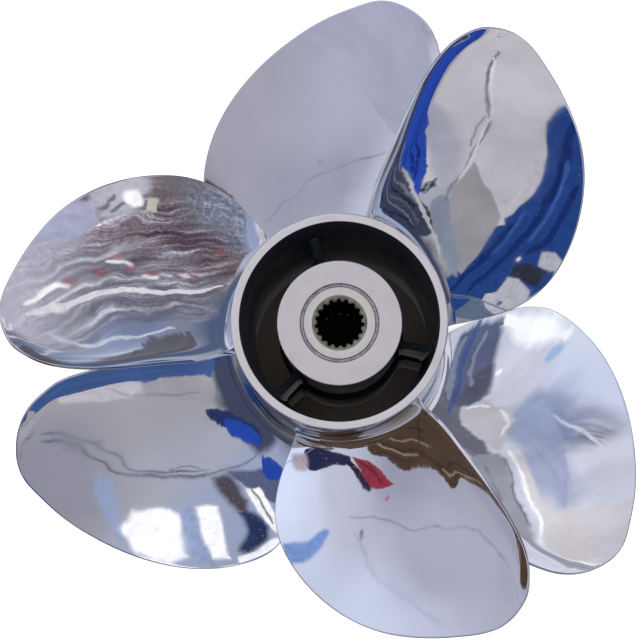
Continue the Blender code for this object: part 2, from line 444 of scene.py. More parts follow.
def make_barrel(name, fore, aft, bore_fore, bore_aft, base, top, finishes, body, node):
    corners = (
        (fore, base, 0.8),
        (aft, top, 0.9),
        (bore_aft, top, 0.7),
        (bore_fore, base, 0.8),
    )
    bm = turned(corners, BARREL_SEGMENTS)
    finish_barrel_faces(bm, aft)
    place_piece(name, bm, finishes, body, node)


# The forward barrel's bore and end face get the passage's dark brown, part black paint and part
# painted shade.
make_barrel(
    "forward_barrel_polished", 59.5, 57.5, 53.5, 51.0, 0.0, FORWARD_END,
    (steel, passage_black_and_shade, passage_black_and_shade), "forward_propeller", "forward_hub_barrel",
)
make_barrel(
    "aft_barrel_polished", 57.3, 55.0, 47.6, 50.4, AFT_BASE, AFT_END,
    (steel, ring_steel, bore_black), "aft_propeller", "aft_hub_barrel",
)

# %% [markdown]
# ## Bosses, bushings and ribs
#
# The boss is the thick inner tube. Its aft face is the bright disc in the middle of the hub,
# and its sides lie in the dark passage. A rubber bushing is bonded between boss and sleeve and
# shows as a narrow grey ring. Three ribs join boss and barrel.

# %% Bosses
BOSS_SEGMENTS = 160
BOSS_SKIN = 0.15


def make_boss(name, radius, bore, base, top, finishes, body, node):
    corners = (
        (radius, base, 0.8),
        (radius, top, 0.8),
        (bore, top, 0.45),
        (bore, base, 0.45),
    )
    bm = turned(corners, BOSS_SEGMENTS)
    for face in bm.faces:
        on_side = face_place(face)[0] > radius - BOSS_SKIN
        face.material_index = 1 if on_side else 0
    place_piece(name, bm, finishes, body, node)


# The forward boss gets the passage's dark brown: painted shade on its face, deep in the passage.
make_boss(
    "forward_boss_turned", 34.8, 30.4, 8.0, FORWARD_END - 6.0, (passage_black_and_shade, passage_black_and_shade),
    "forward_propeller", "forward_hub_boss",
)
make_boss(
    "aft_boss_turned", 32.2, 20.2, AFT_BASE + 3.0, AFT_END - 11.0, (boss_steel, bore_black),
    "aft_propeller", "aft_hub_boss",
)


# %% Bushings
BUSHING_SEGMENTS = 128


def make_bushing(name, outer, inner, base, top, body, node):
    corners = (
        (outer, base, 0.4),
        (outer, top, 0.5),
        (inner, top, 0.5),
        (inner, base, 0.4),
    )
    bm = turned(corners, BUSHING_SEGMENTS)
    place_piece(name, bm, (rubber,), body, node)


make_bushing(
    "forward_bushing_rubber", 30.3, 28.7, 9.0, FORWARD_END - 7.0,
    "forward_propeller", "forward_hub_bushing",
)
make_bushing(
    "aft_bushing_rubber", 20.1, 18.5, AFT_BASE + 4.0, AFT_END - 12.0,
    "aft_propeller", "aft_hub_bushing",
)

# %% [markdown]
# A rib is a thin web. It starts as a cube cut across into short lengths, and the end lengths
# are widened so that it runs into boss and barrel with the round corners of a casting. Its aft
# edge slopes down towards the boss. A bevel then rounds the long edges.

# %% Ribs
RIB_THICKNESS = 4.0
RIB_ANGLE = 106.6
RIB_CUTS = 11
FOOT_LENGTH = 3.0
FOOT_WIDENING = 0.8
RIB_ROUNDING = 0.0009
SHARP_FOLD = 1.2


def rib_half_thickness(share, length):
    from_end = min(share, 1.0 - share) * length
    corner = max(1.0 - from_end / FOOT_LENGTH, 0.0)
    return RIB_THICKNESS / 2.0 + FOOT_WIDENING * corner * corner


def make_rib(name, turn, inner, outer_aft, outer_fore, levels, finish, body, node):
    fore, aft_outer, aft_inner = levels
    bm = bmesh.new()
    bmesh.ops.create_cube(bm, size=1.0)
    along = [edge for edge in bm.edges if abs(edge.verts[0].co.x - edge.verts[1].co.x) > 0.5]
    bmesh.ops.subdivide_edges(bm, edges=along, cuts=RIB_CUTS, use_grid_fill=True)
    for vert in bm.verts:
        share = vert.co.x + 0.5
        upper = vert.co.z > 0.0
        outer = outer_aft if upper else outer_fore
        radius = inner + (outer - inner) * share
        height = aft_inner + (aft_outer - aft_inner) * share if upper else fore
        side = math.copysign(rib_half_thickness(share, outer - inner), vert.co.y)
        vert.co = Vector((radius, side, height)) * 0.001
    long_edges = [
        edge
        for edge in bm.edges
        if len(edge.link_faces) == 2 and edge.calc_face_angle() > SHARP_FOLD
    ]
    bmesh.ops.bevel(
        bm,
        geom=long_edges,
        offset=RIB_ROUNDING,
        affect="EDGES",
        segments=3,
        profile=0.5,
        material=-1,
    )
    turn_about_shaft(bm, turn)
    place_piece(name, bm, (finish,), body, node)


for number in (1, 2, 3):
    turn = RIB_ANGLE + 120.0 * (number - 1)
    # The forward ribs get the passage's dark brown, part black paint and part painted shade.
    make_rib(
        "forward_rib_%d_cast" % number, turn, 34.6, 51.7, 53.6, (14.0, 96.0, 90.0), passage_black_and_shade,
        "forward_propeller", "forward_hub_rib_%d" % number,
    )
    make_rib(
        "aft_rib_%d_cast" % number, turn, 32.0, 49.4, 47.9,
        (AFT_BASE + 5.0, AFT_END - 44.0, AFT_END - 58.0), rib_black,
        "aft_propeller", "aft_hub_rib_%d" % number,
    )

# %% [markdown]
# ## Splined sleeves
#
# The sleeve takes the shaft's splines. Its bore is turned round first, with twelve steps for
# each tooth, and the steps are then moved in or out to the tooth's outline: a flat tip, two
# flanks and a flat root. The teeth stop below a coned mouth. The toothed length is near black,
# partly old grease and partly painted shade deep in the bore, while the end face and the mouth
# still show steel.

# %% Sleeves
STEPS_PER_TOOTH = 12
ROOT_STEPS = 4.2
FLANK_STEPS = 2.2
MOUTH_DEPTH = 2.2
TEETH_START = 3.6


def tooth_share(step):
    from_middle = abs((step + STEPS_PER_TOOTH / 2) % STEPS_PER_TOOTH - STEPS_PER_TOOTH / 2)
    return min(max((ROOT_STEPS - from_middle) / FLANK_STEPS, 0.0), 1.0)


def cut_teeth(bm, root, tip, steps, base, top):
    for vert in bm.verts:
        distance = math.hypot(vert.co.x, vert.co.y) * 1000.0
        height = vert.co.z * 1000.0
        if abs(distance - root) > 0.01 or not base + 3.0 < height < top - 3.0:
            continue
        step = round(math.atan2(vert.co.y, vert.co.x) / math.tau * steps)
        factor = 1.0 + (tip / root - 1.0) * tooth_share(step)
        vert.co.x *= factor
        vert.co.y *= factor


def make_sleeve(name, radius, root, tip, mouth, teeth, turn, base, top, finish, body, node):
    corners = (
        (radius, base, 0.3),
        (radius, top, 0.3),
        (mouth, top, 0.5),
        (root, top - MOUTH_DEPTH, 0.0),
        (root, top - TEETH_START, 0.0),
        (root, base + TEETH_START, 0.0),
        (root, base + MOUTH_DEPTH, 0.0),
        (mouth, base, 0.5),
    )
    steps = teeth * STEPS_PER_TOOTH
    bm = turned(corners, steps)
    cut_teeth(bm, root, tip, steps, base, top)
    turn_about_shaft(bm, turn)
    # The toothed faces get the near black of grease and painted shade.
    for face in bm.faces:
        distance, height = face_place(face)
        toothed = distance < mouth and base + TEETH_START < height < top - TEETH_START
        face.material_index = 1 if toothed else 0
    place_piece(name, bm, (finish, spline_grease_and_shade), body, node)


make_sleeve(
    "forward_sleeve_splined", 28.6, 23.4, 22.0, 24.8, 30, 0.0, 8.0, FORWARD_END - 6.0,
    forward_sleeve_steel, "forward_propeller", "forward_splined_sleeve",
)
make_sleeve(
    "aft_sleeve_splined", 18.4, 12.7, 11.3, 14.2, 19, 7.0, AFT_BASE + 3.0, AFT_END - 11.0,
    aft_sleeve_steel, "aft_propeller", "aft_splined_sleeve",
)

# %% [markdown]
# ## Blades
#
# A blade's face is a helical surface: a line out from the shaft that turns and climbs at the
# same time. The outline is given by stations, each a radius with the angle of the leading and
# of the trailing edge. Between stations a smooth curve runs through them. The outline closes
# like a parabola at the tip, so it is read along the square root of what is left to the tip.

# %% Blade dimensions
AFT_BLADE = {
    "hand": 1.0, "phase": 41.2, "middle": AFT_END - 55.9, "pitch": 472.0, "rake": 0.28,
    "root": 55.0, "tip": 172.7, "tip_angle": -15.8,
    "root_thickness": 9.0, "tip_thickness": 3.2, "cup": 2.4, "cup_width": 11.0,
    "stations": (
        (56.0, 36.0, -33.0), (72.0, 35.2, -33.9), (88.0, 34.0, -32.9), (104.0, 31.4, -31.8),
        (118.0, 27.2, -30.9), (130.0, 21.9, -29.9), (142.0, 15.6, -28.6), (152.0, 9.4, -27.0),
        (160.0, 2.9, -25.0), (166.0, -4.4, -22.8), (170.0, -10.2, -20.1),
    ),
    "barrel": (57.3, 55.0, AFT_BASE, AFT_END),
}
FORWARD_BLADE = {
    "hand": -1.0, "phase": 90.5, "middle": AFT_END - 164.3, "pitch": 553.0, "rake": 0.24,
    "root": 58.0, "tip": 195.7, "tip_angle": -7.2,
    "root_thickness": 9.5, "tip_thickness": 3.4, "cup": 2.8, "cup_width": 14.0,
    "stations": (
        (57.0, 37.6, -30.0), (75.0, 41.4, -28.0), (95.0, 43.2, -26.0), (115.0, 43.0, -24.7),
        (130.0, 40.4, -23.8), (145.0, 33.8, -22.9), (158.0, 26.2, -21.9), (170.0, 17.5, -19.9),
        (180.0, 9.3, -17.6), (188.0, 2.3, -14.4), (193.0, -3.2, -11.2),
    ),
    "barrel": (59.5, 57.5, 0.0, FORWARD_END),
}
print("the blades reach", AFT_BLADE["tip"], "mm aft and", FORWARD_BLADE["tip"], "mm forward")


# %% Smooth curve through the stations
def slope_at(points, k):
    low = points[max(k - 1, 0)]
    high = points[min(k + 1, len(points) - 1)]
    return (high[1] - low[1]) / (high[0] - low[0])


def smooth_curve(x, points):
    i = 0
    while i < len(points) - 2 and x > points[i + 1][0]:
        i += 1
    width = points[i + 1][0] - points[i][0]
    t = (x - points[i][0]) / width
    rise = (2 * t**3 - 3 * t**2 + 1) * points[i][1] + (3 * t**2 - 2 * t**3) * points[i + 1][1]
    lean = (t**3 - 2 * t**2 + t) * slope_at(points, i) + (t**3 - t**2) * slope_at(points, i + 1)
    return rise + lean * width


def outline_curves(blade):
    reach = blade["tip"] - blade["root"]
    leading = [(0.0, blade["tip_angle"])]
    trailing = [(0.0, blade["tip_angle"])]
    for radius, lead, trail in reversed(blade["stations"]):
        left = math.sqrt((blade["tip"] - radius) / reach)
        leading.append((left, lead))
        trailing.append((left, trail))
    return leading, trailing


def outline_at(blade, curves, radius):
    left = math.sqrt(max(blade["tip"] - radius, 0.0) / (blade["tip"] - blade["root"]))
    return smooth_curve(left, curves[0]), smooth_curve(left, curves[1])


# %% Helical surface
def helix_point(blade, radius, theta):
    angle = math.radians(blade["phase"] - blade["hand"] * theta)
    height = blade["middle"] - blade["pitch"] * theta / 360.0
    height += blade["rake"] * (radius - blade["root"])
    return Vector((radius * math.cos(angle), radius * math.sin(angle), height))


def helix_normal(blade, radius, theta):
    along = helix_point(blade, radius, theta + 0.1) - helix_point(blade, radius, theta - 0.1)
    out = helix_point(blade, radius + 0.1, theta) - helix_point(blade, radius - 0.1, theta)
    normal = along.cross(out).normalized()
    return normal if normal.z > 0 else -normal


# %% [markdown]
# The mesh is a flat grid with a second layer extruded from it. Rows run out along the blade and
# columns run across it. Both crowd together at the edges, where the blade is rounded, and the
# rows also crowd over the root fillet. Each layer is then laid on its own face of the blade.

# %% Rows and columns
ROOT_FILLET = 8.0
FILLET_ROWS = 9
SPAN_ROWS = 52
LEADING_STEPS = (0.0, 0.10, 0.32, 0.70, 1.3, 2.3, 4.0)
TRAILING_STEPS = (0.0, 0.10, 0.26, 0.50, 1.0, 1.9, 3.1, 4.6, 6.4, 8.4, 10.6, 13.0, 15.6)
MIDDLE_COLUMNS = 34
SUNK_ROW = -0.8
TIP_GAP = 0.012
FULL_STEPS_LENGTH = 60.0


def blade_rises(blade):
    rises = [SUNK_ROW]
    for i in range(FILLET_ROWS + 1):
        rises.append(0.02 + ROOT_FILLET * (1.0 - math.cos(math.radians(90.0 * i / FILLET_ROWS))))
    reach = blade["tip"] - blade["root"]
    start = math.sqrt((reach - ROOT_FILLET - 2.0) / reach)
    for i in range(SPAN_ROWS + 1):
        left = start * (1.0 - i / SPAN_ROWS) + TIP_GAP
        rises.append(reach * (1.0 - left * left))
    return rises


def column_shares(length):
    k = min(length / FULL_STEPS_LENGTH, 1.0)
    lead = [step * k / length for step in LEADING_STEPS]
    trail = [1.0 - step * k / length for step in reversed(TRAILING_STEPS)]
    middle = []
    for i in range(1, MIDDLE_COLUMNS):
        middle.append(lead[-1] + (trail[0] - lead[-1]) * i / MIDDLE_COLUMNS)
    return lead + middle + trail


# %% [markdown]
# Thickness falls from the root to the tip and from the middle of the blade to its edges. The
# leading edge is rounded, and the trailing edge stays blunt with only its corners broken. The
# cup is a narrow strip along the trailing edge that curls towards the driving face. Last, the
# polishing wheel leaves a slow wave of up to a tenth of a millimetre, different on each blade,
# and without it the reflections would look too perfect.

# %% Point on a blade
LEADING_THICKNESS = 1.6
TRAILING_THICKNESS = 2.4
BROKEN_CORNER = 0.42
THINNING = 1.25
FULLNESS = 0.75
FLARE_AT_EDGE = 0.2
FLARE_MID_BLADE = 0.7
WAVES = ((0.10, 46.0), (0.03, 17.0))


def half_thickness(blade, span, share, from_edge):
    thickest = blade["tip_thickness"]
    thickest += (blade["root_thickness"] - blade["tip_thickness"]) * (1.0 - span) ** THINNING
    edge = LEADING_THICKNESS + (TRAILING_THICKNESS - LEADING_THICKNESS) * share
    bulge = max(4.0 * share * (1.0 - share), 0.0) ** FULLNESS
    half = (edge + (thickest - edge) * bulge) / 2.0
    corner = edge / 2.0 * 0.92 if share < 0.4 else BROKEN_CORNER
    if from_edge < corner:
        half -= corner - math.sqrt(corner**2 - (corner - from_edge) ** 2)
    return half


def root_flare(rise, share):
    if rise >= ROOT_FILLET:
        return 0.0
    drop = min(ROOT_FILLET - rise, ROOT_FILLET)
    bulge = max(4.0 * share * (1.0 - share), 0.0) ** (FULLNESS / 2.0)
    flare = ROOT_FILLET - math.sqrt(ROOT_FILLET**2 - drop**2)
    return flare * (FLARE_AT_EDGE + FLARE_MID_BLADE * bulge)


def polishing_wave(point, seed):
    place = Vector((point.x, point.y, point.z + 300.0 * seed))
    return sum(depth * noise.noise(place / length) for depth, length in WAVES)


def seat_on_barrel(point, blade, rise, pull):
    fore, aft, base, top = blade["barrel"]
    share = min(max((point.z - base) / (top - base), 0.0), 1.0)
    wanted = fore + (aft - fore) * share + rise
    factor = 1.0 + pull * (wanted / math.hypot(point.x, point.y) - 1.0)
    return Vector((point.x * factor, point.y * factor, point.z))


# %% Lay the grid on the blade
LOOK_INWARDS = 0.05
FAR_FROM_EDGE = 99.0
CUP_GROWS_OVER = 40.0
CUP_FULL_LENGTH = 90.0
SEATED_HEIGHT = 25.0
WAVE_GROWS_OVER = 12.0


def lay_row(blade, curves, rise, seed):
    radius = blade["root"] + rise
    reach = blade["tip"] - blade["root"]
    lead, trail = outline_at(blade, curves, radius)
    lead_in, trail_in = outline_at(blade, curves, radius - LOOK_INWARDS)
    arc = math.radians(1.0) * math.hypot(radius, blade["pitch"] / math.tau)
    length = (lead - trail) * arc
    lead_lean = math.hypot(1.0, (lead_in - lead) * arc / LOOK_INWARDS)
    trail_lean = math.hypot(1.0, (trail - trail_in) * arc / LOOK_INWARDS)
    width = min(blade["cup_width"], 0.3 * length)
    cup = blade["cup"] * min(max(rise, 0.0) / CUP_GROWS_OVER, 1.0)
    cup *= min(length / CUP_FULL_LENGTH, 1.0) ** 2
    pull = max(1.0 - rise / SEATED_HEIGHT, 0.0)
    span = max(rise, 0.0) / reach
    points = []
    for share in column_shares(length):
        theta = lead + (trail - lead) * share
        middle = helix_point(blade, radius, theta)
        normal = helix_normal(blade, radius, theta)
        from_lead = share * length / lead_lean
        from_trail = (1.0 - share) * length / trail_lean
        half = half_thickness(blade, span, share, min(from_lead, from_trail))
        full = half_thickness(blade, span, share, FAR_FROM_EDGE)
        curl = cup * max(1.0 - (1.0 - share) * length / width, 0.0) ** 2
        flare = root_flare(rise, share)
        middle += normal * (curl - full)
        wave = polishing_wave(middle, seed) * min(max(rise, 0.0) / WAVE_GROWS_OVER, 1.0)
        aft = seat_on_barrel(middle + normal * (half + flare + wave), blade, rise, pull)
        fore = seat_on_barrel(middle - normal * (half + flare), blade, rise, pull)
        points.append((fore * 0.001, aft * 0.001))
    return points


def make_blade(name, blade, turn, seed, body, node):
    curves = outline_curves(blade)
    rows = [lay_row(blade, curves, rise, seed) for rise in blade_rises(blade)]
    columns = len(rows[0])
    bm = bmesh.new()
    bmesh.ops.create_grid(bm, x_segments=columns - 1, y_segments=len(rows) - 1, size=1.0)
    layer = bmesh.ops.extrude_face_region(bm, geom=bm.faces[:])["geom"]
    upper = {item for item in layer if isinstance(item, bmesh.types.BMVert)}
    for vert in bm.verts:
        column = round((vert.co.x + 1.0) / 2.0 * (columns - 1))
        row = round((vert.co.y + 1.0) / 2.0 * (len(rows) - 1))
        vert.co = rows[row][column][1 if vert in upper else 0]
    turn_about_shaft(bm, turn)
    piece = place_piece(name, bm, (steel,), body, node, weighted=False)
    smooth = piece.modifiers.new("polished", "SUBSURF")
    smooth.levels = 1
    smooth.render_levels = 1


# %% Six blades
for number in (1, 2, 3):
    turn = 120.0 * (number - 1)
    make_blade(
        "forward_blade_%d_polished" % number, FORWARD_BLADE, turn, number,
        "forward_propeller", "forward_blade_%d" % number,
    )
    make_blade(
        "aft_blade_%d_polished" % number, AFT_BLADE, turn, number + 3,
        "aft_propeller", "aft_blade_%d" % number,
    )

# %% [markdown]
# ## Floor, backdrop and light
#
# Polished metal shows what stands round it, so the studio matters as much as the metal. The
# floor is plain and pale, and glows a little, so that it comes out white. Under the hub its
# colour is painted dark brown, a painted shadow for the shaded end of the passage, and darker
# still under the splined bore. A large sphere round the set, which the camera doesn't see,
# gives the metal something to mirror.

# %% Floor
FLOOR_RADIUS = 3.0


def new_stage(name, bm, material):
    stage = object_from(name, bm, (material,))
    stage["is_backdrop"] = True
    return stage


floor_paint, tree, shader, place = new_finish("pale_floor")
from_shaft = shaft_distance(tree, place)
# Painted shadow: dark brown under the hub, and nearly black under the splined bore.
clear_of_hub = range_of(tree, from_shaft, 0.054, 0.059, 0.0, 1.0)
pale = blend_of(tree, clear_of_hub, (0.42, 0.35, 0.32), (0.84, 0.84, 0.86), 0.0, 1.0)
out_of_bore = range_of(tree, from_shaft, 0.024, 0.030, 0.06, 1.0)
shaded = add_node(tree, "VectorMath", operation="SCALE", Vector=pale, Scale=out_of_bore)
feed_all(
    tree,
    shader,
    Base_Color=shaded.outputs["Vector"],
    Roughness=0.9,
    Specular_IOR_Level=0.1,
    Emission_Color=(1.0, 1.0, 1.0),
    Emission_Strength=range_of(tree, from_shaft, 0.058, 0.062, 0.0, 0.5),
)
bm = bmesh.new()
bmesh.ops.create_circle(bm, cap_ends=True, segments=96, radius=FLOOR_RADIUS)
floor = new_stage("floor", bm, floor_paint)
floor.visible_glossy = False
print("floor:", FLOOR_RADIUS * 2, "m across")

# %% [markdown]
# The backdrop is laid out in angles, the way a map is: azimuth round the set and elevation above
# the horizon, both in degrees. Slow noise first pushes the angles about by a few degrees, so
# that nothing on the map has a ruled edge. Colours are given as they should look in the steel,
# from 0 to 255. The steel returns about two thirds of the light, so the paint is made brighter.

# %% Angles on the backdrop
BACKDROP_RADIUS = 3.2
STEEL_RETURNS = 0.65
PUSH_SCALE = 0.10
PUSH_DEGREES = 7.0


def seen(red, green, blue):
    return tuple((value / 255.0) ** 2.2 / STEEL_RETURNS for value in (red, green, blue))


def pushed(tree, angle, amount):
    return maths(
        tree, "ADD", angle, maths(tree, "MULTIPLY_ADD", amount, PUSH_DEGREES, -PUSH_DEGREES / 2)
    )


def backdrop_angles(tree, place):
    split = add_node(tree, "SeparateXYZ", Vector=place).outputs
    turn = maths(tree, "ARCTAN2", split["Y"], split["X"])
    azimuth = maths(tree, "WRAP", maths(tree, "MULTIPLY", turn, math.degrees(1.0)), 370.0, 10.0)
    height = maths(tree, "DIVIDE", split["Z"], BACKDROP_RADIUS)
    elevation = maths(tree, "MULTIPLY", maths(tree, "ARCSINE", height), math.degrees(1.0))
    map_place = joined(tree, azimuth, elevation)
    push = add_node(tree, "TexNoise", Scale=PUSH_SCALE, Detail=2.0, Vector=map_place)
    parts = add_node(tree, "SeparateColor", Color=push.outputs["Color"]).outputs
    return pushed(tree, azimuth, parts["Red"]), pushed(tree, elevation, parts["Green"])


# %% [markdown]
# Broad, soft zones are painted with nodes on the sphere. Each zone is a soft-edged rectangle on
# the map, laid over what is already there.

# %% A soft zone and a glowing paint
def zone_share(tree, azimuth, elevation, centre, size, soft):
    from_side = maths(tree, "ABSOLUTE", maths(tree, "SUBTRACT", azimuth, centre[0]))
    from_level = maths(tree, "ABSOLUTE", maths(tree, "SUBTRACT", elevation, centre[1]))
    across = range_of(tree, from_side, size[0] / 2 - soft, size[0] / 2 + soft, 1.0, 0.0)
    up = range_of(tree, from_level, size[1] / 2 - soft, size[1] / 2 + soft, 1.0, 0.0)
    return maths(tree, "MULTIPLY", across, up)


def new_paint(name):
    paint = bpy.data.materials.new(name)
    paint.use_nodes = True
    paint.node_tree.nodes.clear()
    paint.cycles.emission_sampling = "NONE"
    return paint, paint.node_tree


# %% Soft zones
# centre (azimuth, elevation), size (width, height), softness, colour as the steel shows it
ZONES = (
    ((148, 15), (26, 80), 6, seen(206, 216, 238)),
    ((172, 16), (34, 80), 8, seen(186, 189, 206)),
    ((160, 34), (60, 14), 5, seen(200, 208, 228)),
    ((208, 14), (50, 80), 8, seen(157, 157, 170)),
    ((184, 26), (24, 30), 6, seen(168, 169, 187)),
    ((195, 7), (36, 22), 6, seen(150, 151, 168)),
    ((244, 0), (32, 60), 6, seen(120, 114, 110)),
    ((304, 26), (38, 70), 3, seen(156, 154, 159)),
    ((312, 42), (24, 18), 6, seen(140, 140, 153)),
    ((322, 12), (24, 34), 6, seen(160, 164, 176)),
    ((345, 22), (34, 70), 4, seen(150, 160, 184)),
    ((44, 14), (38, 90), 3, seen(116, 110, 114)),
    ((84, 10), (22, 64), 4, seen(124, 131, 148)),
    ((108, 14), (36, 80), 4, seen(200, 208, 226)),
    ((112, -4), (30, 12), 4, seen(176, 190, 216)),
    ((81, 17), (12, 16), 4, seen(142, 156, 188)),
    ((93, 24), (12, 20), 3, seen(198, 206, 228)),
    ((92, -13), (44, 18), 5, seen(80, 92, 118)),
    ((303, -10), (62, 17), 2, seen(64, 70, 90)),
)
SKY = (
    (0.0, (0.46, 0.46, 0.48)),
    (0.24, (0.40, 0.40, 0.42)),
    (0.38, (0.14, 0.13, 0.13)),
    (0.47, (0.26, 0.26, 0.29)),
    (0.53, (0.52, 0.52, 0.58)),
    (0.74, (0.62, 0.62, 0.69)),
    (0.86, (0.80, 0.78, 0.81)),
)

backdrop, tree = new_paint("studio_backdrop")
azimuth, elevation = backdrop_angles(tree, add_node(tree, "TexCoord").outputs["Object"])
calc = partial(maths, tree)
zone_at = partial(zone_share, tree, azimuth, elevation)

paint = ramp_of(tree, range_of(tree, elevation, -90.0, 90.0, 0.0, 1.0), SKY)
for centre, size, soft, colour in ZONES:
    paint = laid_over(tree, paint, zone_at(centre, size, soft), colour)
print("soft zones:", len(ZONES))

# %% [markdown]
# The left aft blade mirrors something rough and brown that falls past in long streaks. Noise
# that is stretched along the fall gives the streaks. They lean, and they bend where they are
# high up, so the map is sheared first. Finer noise gives the grit.

# %% Streaks and grit
LEAN_FROM = 72.0
LEAN_PER_DEGREE = 0.025
MOST_LEAN = 0.6
FALL_LEVEL = 18.0
FALL_BEND = 0.03

lean = calc("MULTIPLY", calc("SUBTRACT", LEAN_FROM, azimuth), LEAN_PER_DEGREE)
lean = calc("MINIMUM", calc("MAXIMUM", lean, 0.0), MOST_LEAN)
above = calc("SUBTRACT", elevation, FALL_LEVEL)
high_up = calc("MAXIMUM", above, 0.0)
bend = calc("MULTIPLY", calc("MULTIPLY", high_up, high_up), FALL_BEND)
across = calc("SUBTRACT", azimuth, calc("ADD", calc("MULTIPLY", above, lean), bend))
sheared = joined(tree, calc("MULTIPLY", across, 0.55), calc("MULTIPLY", elevation, 0.055))
streaks = noise_of(tree, sheared, 1.0, 6.0, rough=0.62)
squeezed = joined(tree, azimuth, calc("MULTIPLY", elevation, 0.6))
grit = noise_of(tree, squeezed, 1.9, 4.0, rough=0.8)

# %% Brown and violet
ROUGH_BROWN = (
    (0.30, seen(60, 50, 60)),
    (0.44, seen(104, 88, 92)),
    (0.54, seen(140, 130, 138)),
    (0.62, seen(180, 176, 188)),
    (0.70, seen(235, 235, 245)),
)
VIOLET = (
    (0.34, seen(78, 76, 90)),
    (0.48, seen(116, 114, 126)),
    (0.57, seen(164, 163, 173)),
    (0.65, seen(226, 228, 236)),
)
grit_light = range_of(tree, grit, 0.38, 0.62, 0.45, 1.7)
gritty = laid_over(tree, ramp_of(tree, streaks, ROUGH_BROWN), 0.75, grit_light, "MULTIPLY")
paint = laid_over(tree, paint, zone_at((52.0, 8.0), (24.0, 84.0), 3.0), gritty)

low_violet = zone_at((68.0, 18.0), (18.0, 54.0), 3.0)
high_violet = zone_at((79.0, 33.0), (14.0, 15.0), 4.0)
share = calc("MULTIPLY", calc("MAXIMUM", low_violet, high_violet), 0.85)
paint = laid_over(tree, paint, share, ramp_of(tree, streaks, VIOLET))

# %% [markdown]
# A few weaker zones are laid over the streaks: dark ones where the brown is deepest, and a pale
# one at the top. The crinkled dark place beside them has thin pale veins, which are the borders
# of a Voronoi pattern. Last, grit speckles the whole rough part.

# %% Zones over the streaks
# as ZONES, with a strength before the colour
OVERLAYS = (
    ((47.0, 10.0), (20.0, 26.0), 6.0, 0.55, seen(46, 40, 52)),
    ((79.0, 16.0), (12.0, 14.0), 4.0, 0.45, seen(66, 68, 92)),
    ((69.0, 38.0), (32.0, 11.0), 4.0, 0.60, seen(200, 200, 214)),
    ((34.0, -5.0), (20.0, 17.0), 4.0, 0.65, seen(70, 78, 100)),
    ((70.0, 8.0), (11.0, 15.0), 4.0, 0.40, seen(66, 64, 80)),
)
for centre, size, soft, strength, colour in OVERLAYS:
    share = calc("MULTIPLY", zone_at(centre, size, soft), strength)
    paint = laid_over(tree, paint, share, colour)
print("zones over the streaks:", len(OVERLAYS))

# %% Veins and speckle
CRINKLED = ((0.35, seen(70, 76, 92)), (0.65, seen(128, 134, 150)))
crinkled_zone = zone_at((33.0, 6.0), (17.0, 28.0), 4.0)
paint = laid_over(tree, paint, crinkled_zone, ramp_of(tree, grit, CRINKLED))

bent = joined(
    tree, calc("MULTIPLY_ADD", grit, 2.4, azimuth), calc("MULTIPLY_ADD", streaks, 5.0, elevation)
)
veins = add_node(tree, "TexVoronoi", feature="DISTANCE_TO_EDGE", Scale=0.42, Vector=bent)
line = range_of(tree, veins.outputs["Distance"], 0.0, 0.10, 0.8, 0.0)
line = calc("MULTIPLY", line, range_of(tree, streaks, 0.36, 0.6, 0.15, 0.9))
paint = laid_over(tree, paint, calc("MULTIPLY", crinkled_zone, line), seen(196, 202, 216))

rough_zone = zone_at((57.0, 8.0), (42.0, 84.0), 4.0)
speckle = range_of(tree, grit, 0.36, 0.64, 0.72, 1.26)
paint = laid_over(tree, paint, rough_zone, speckle, "MULTIPLY")

# %% The sphere
def hidden_stage(name, bm, paint):
    hidden = new_stage(name, bm, paint)
    hidden.visible_camera = False
    hidden.visible_shadow = False
    return hidden


glow = add_node(tree, "Emission", Color=paint)
add_node(tree, "OutputMaterial", Surface=glow.outputs["Emission"])
bm = bmesh.new()
bmesh.ops.create_uvsphere(bm, u_segments=64, v_segments=32, radius=BACKDROP_RADIUS)
bmesh.ops.reverse_faces(bm, faces=bm.faces[:])
hidden_stage("backdrop", bm, backdrop)
print("backdrop nodes:", len(tree.nodes))

# %% [markdown]
# Crisp shapes in the reflections come from cards: cloths, panels and thin joints. A card is a
# filled circle whose rim is moved to the wanted outline and made a little ragged. An inset round
# the rim leaves a narrow border, which fades to nothing. All cards share one mesh and keep their
# colour in an attribute. Each is hung a hair in front of the one before, so a later card covers
# an earlier one. The ragged edges come from noise whose offsets would otherwise follow the
# clock, so its seed is set once and every run cuts the same cards.

# %% Cut a card
cards = bmesh.new()
cards.verts.layers.float_color.new("card_colour")
layers_laid = 0
CARD_SEED = 1
noise.seed_set(CARD_SEED)
RIM_STEPS = 8
RAGGED_SLOW = 6.0
RAGGED_FINE = 1.6
FINE_SHARE = 0.35
LONGEST_EDGE = 5.0
CUTTING_ROUNDS = 3


def ragged(point, amount):
    place = Vector((point[0], point[1], 0.0))
    shift = noise.noise_vector(place / RAGGED_SLOW)
    shift += noise.noise_vector(place / RAGGED_FINE) * FINE_SHARE
    return Vector((point[0] + shift.x * amount, point[1] + shift.y * amount, 0.0))


def smooth_bend(before, here, after, later, t):
    bend = 2 * here + (after - before) * t
    bend += (2 * before - 5 * here + 4 * after - later) * t * t
    bend += (3 * here - before - 3 * after + later) * t**3
    return bend / 2


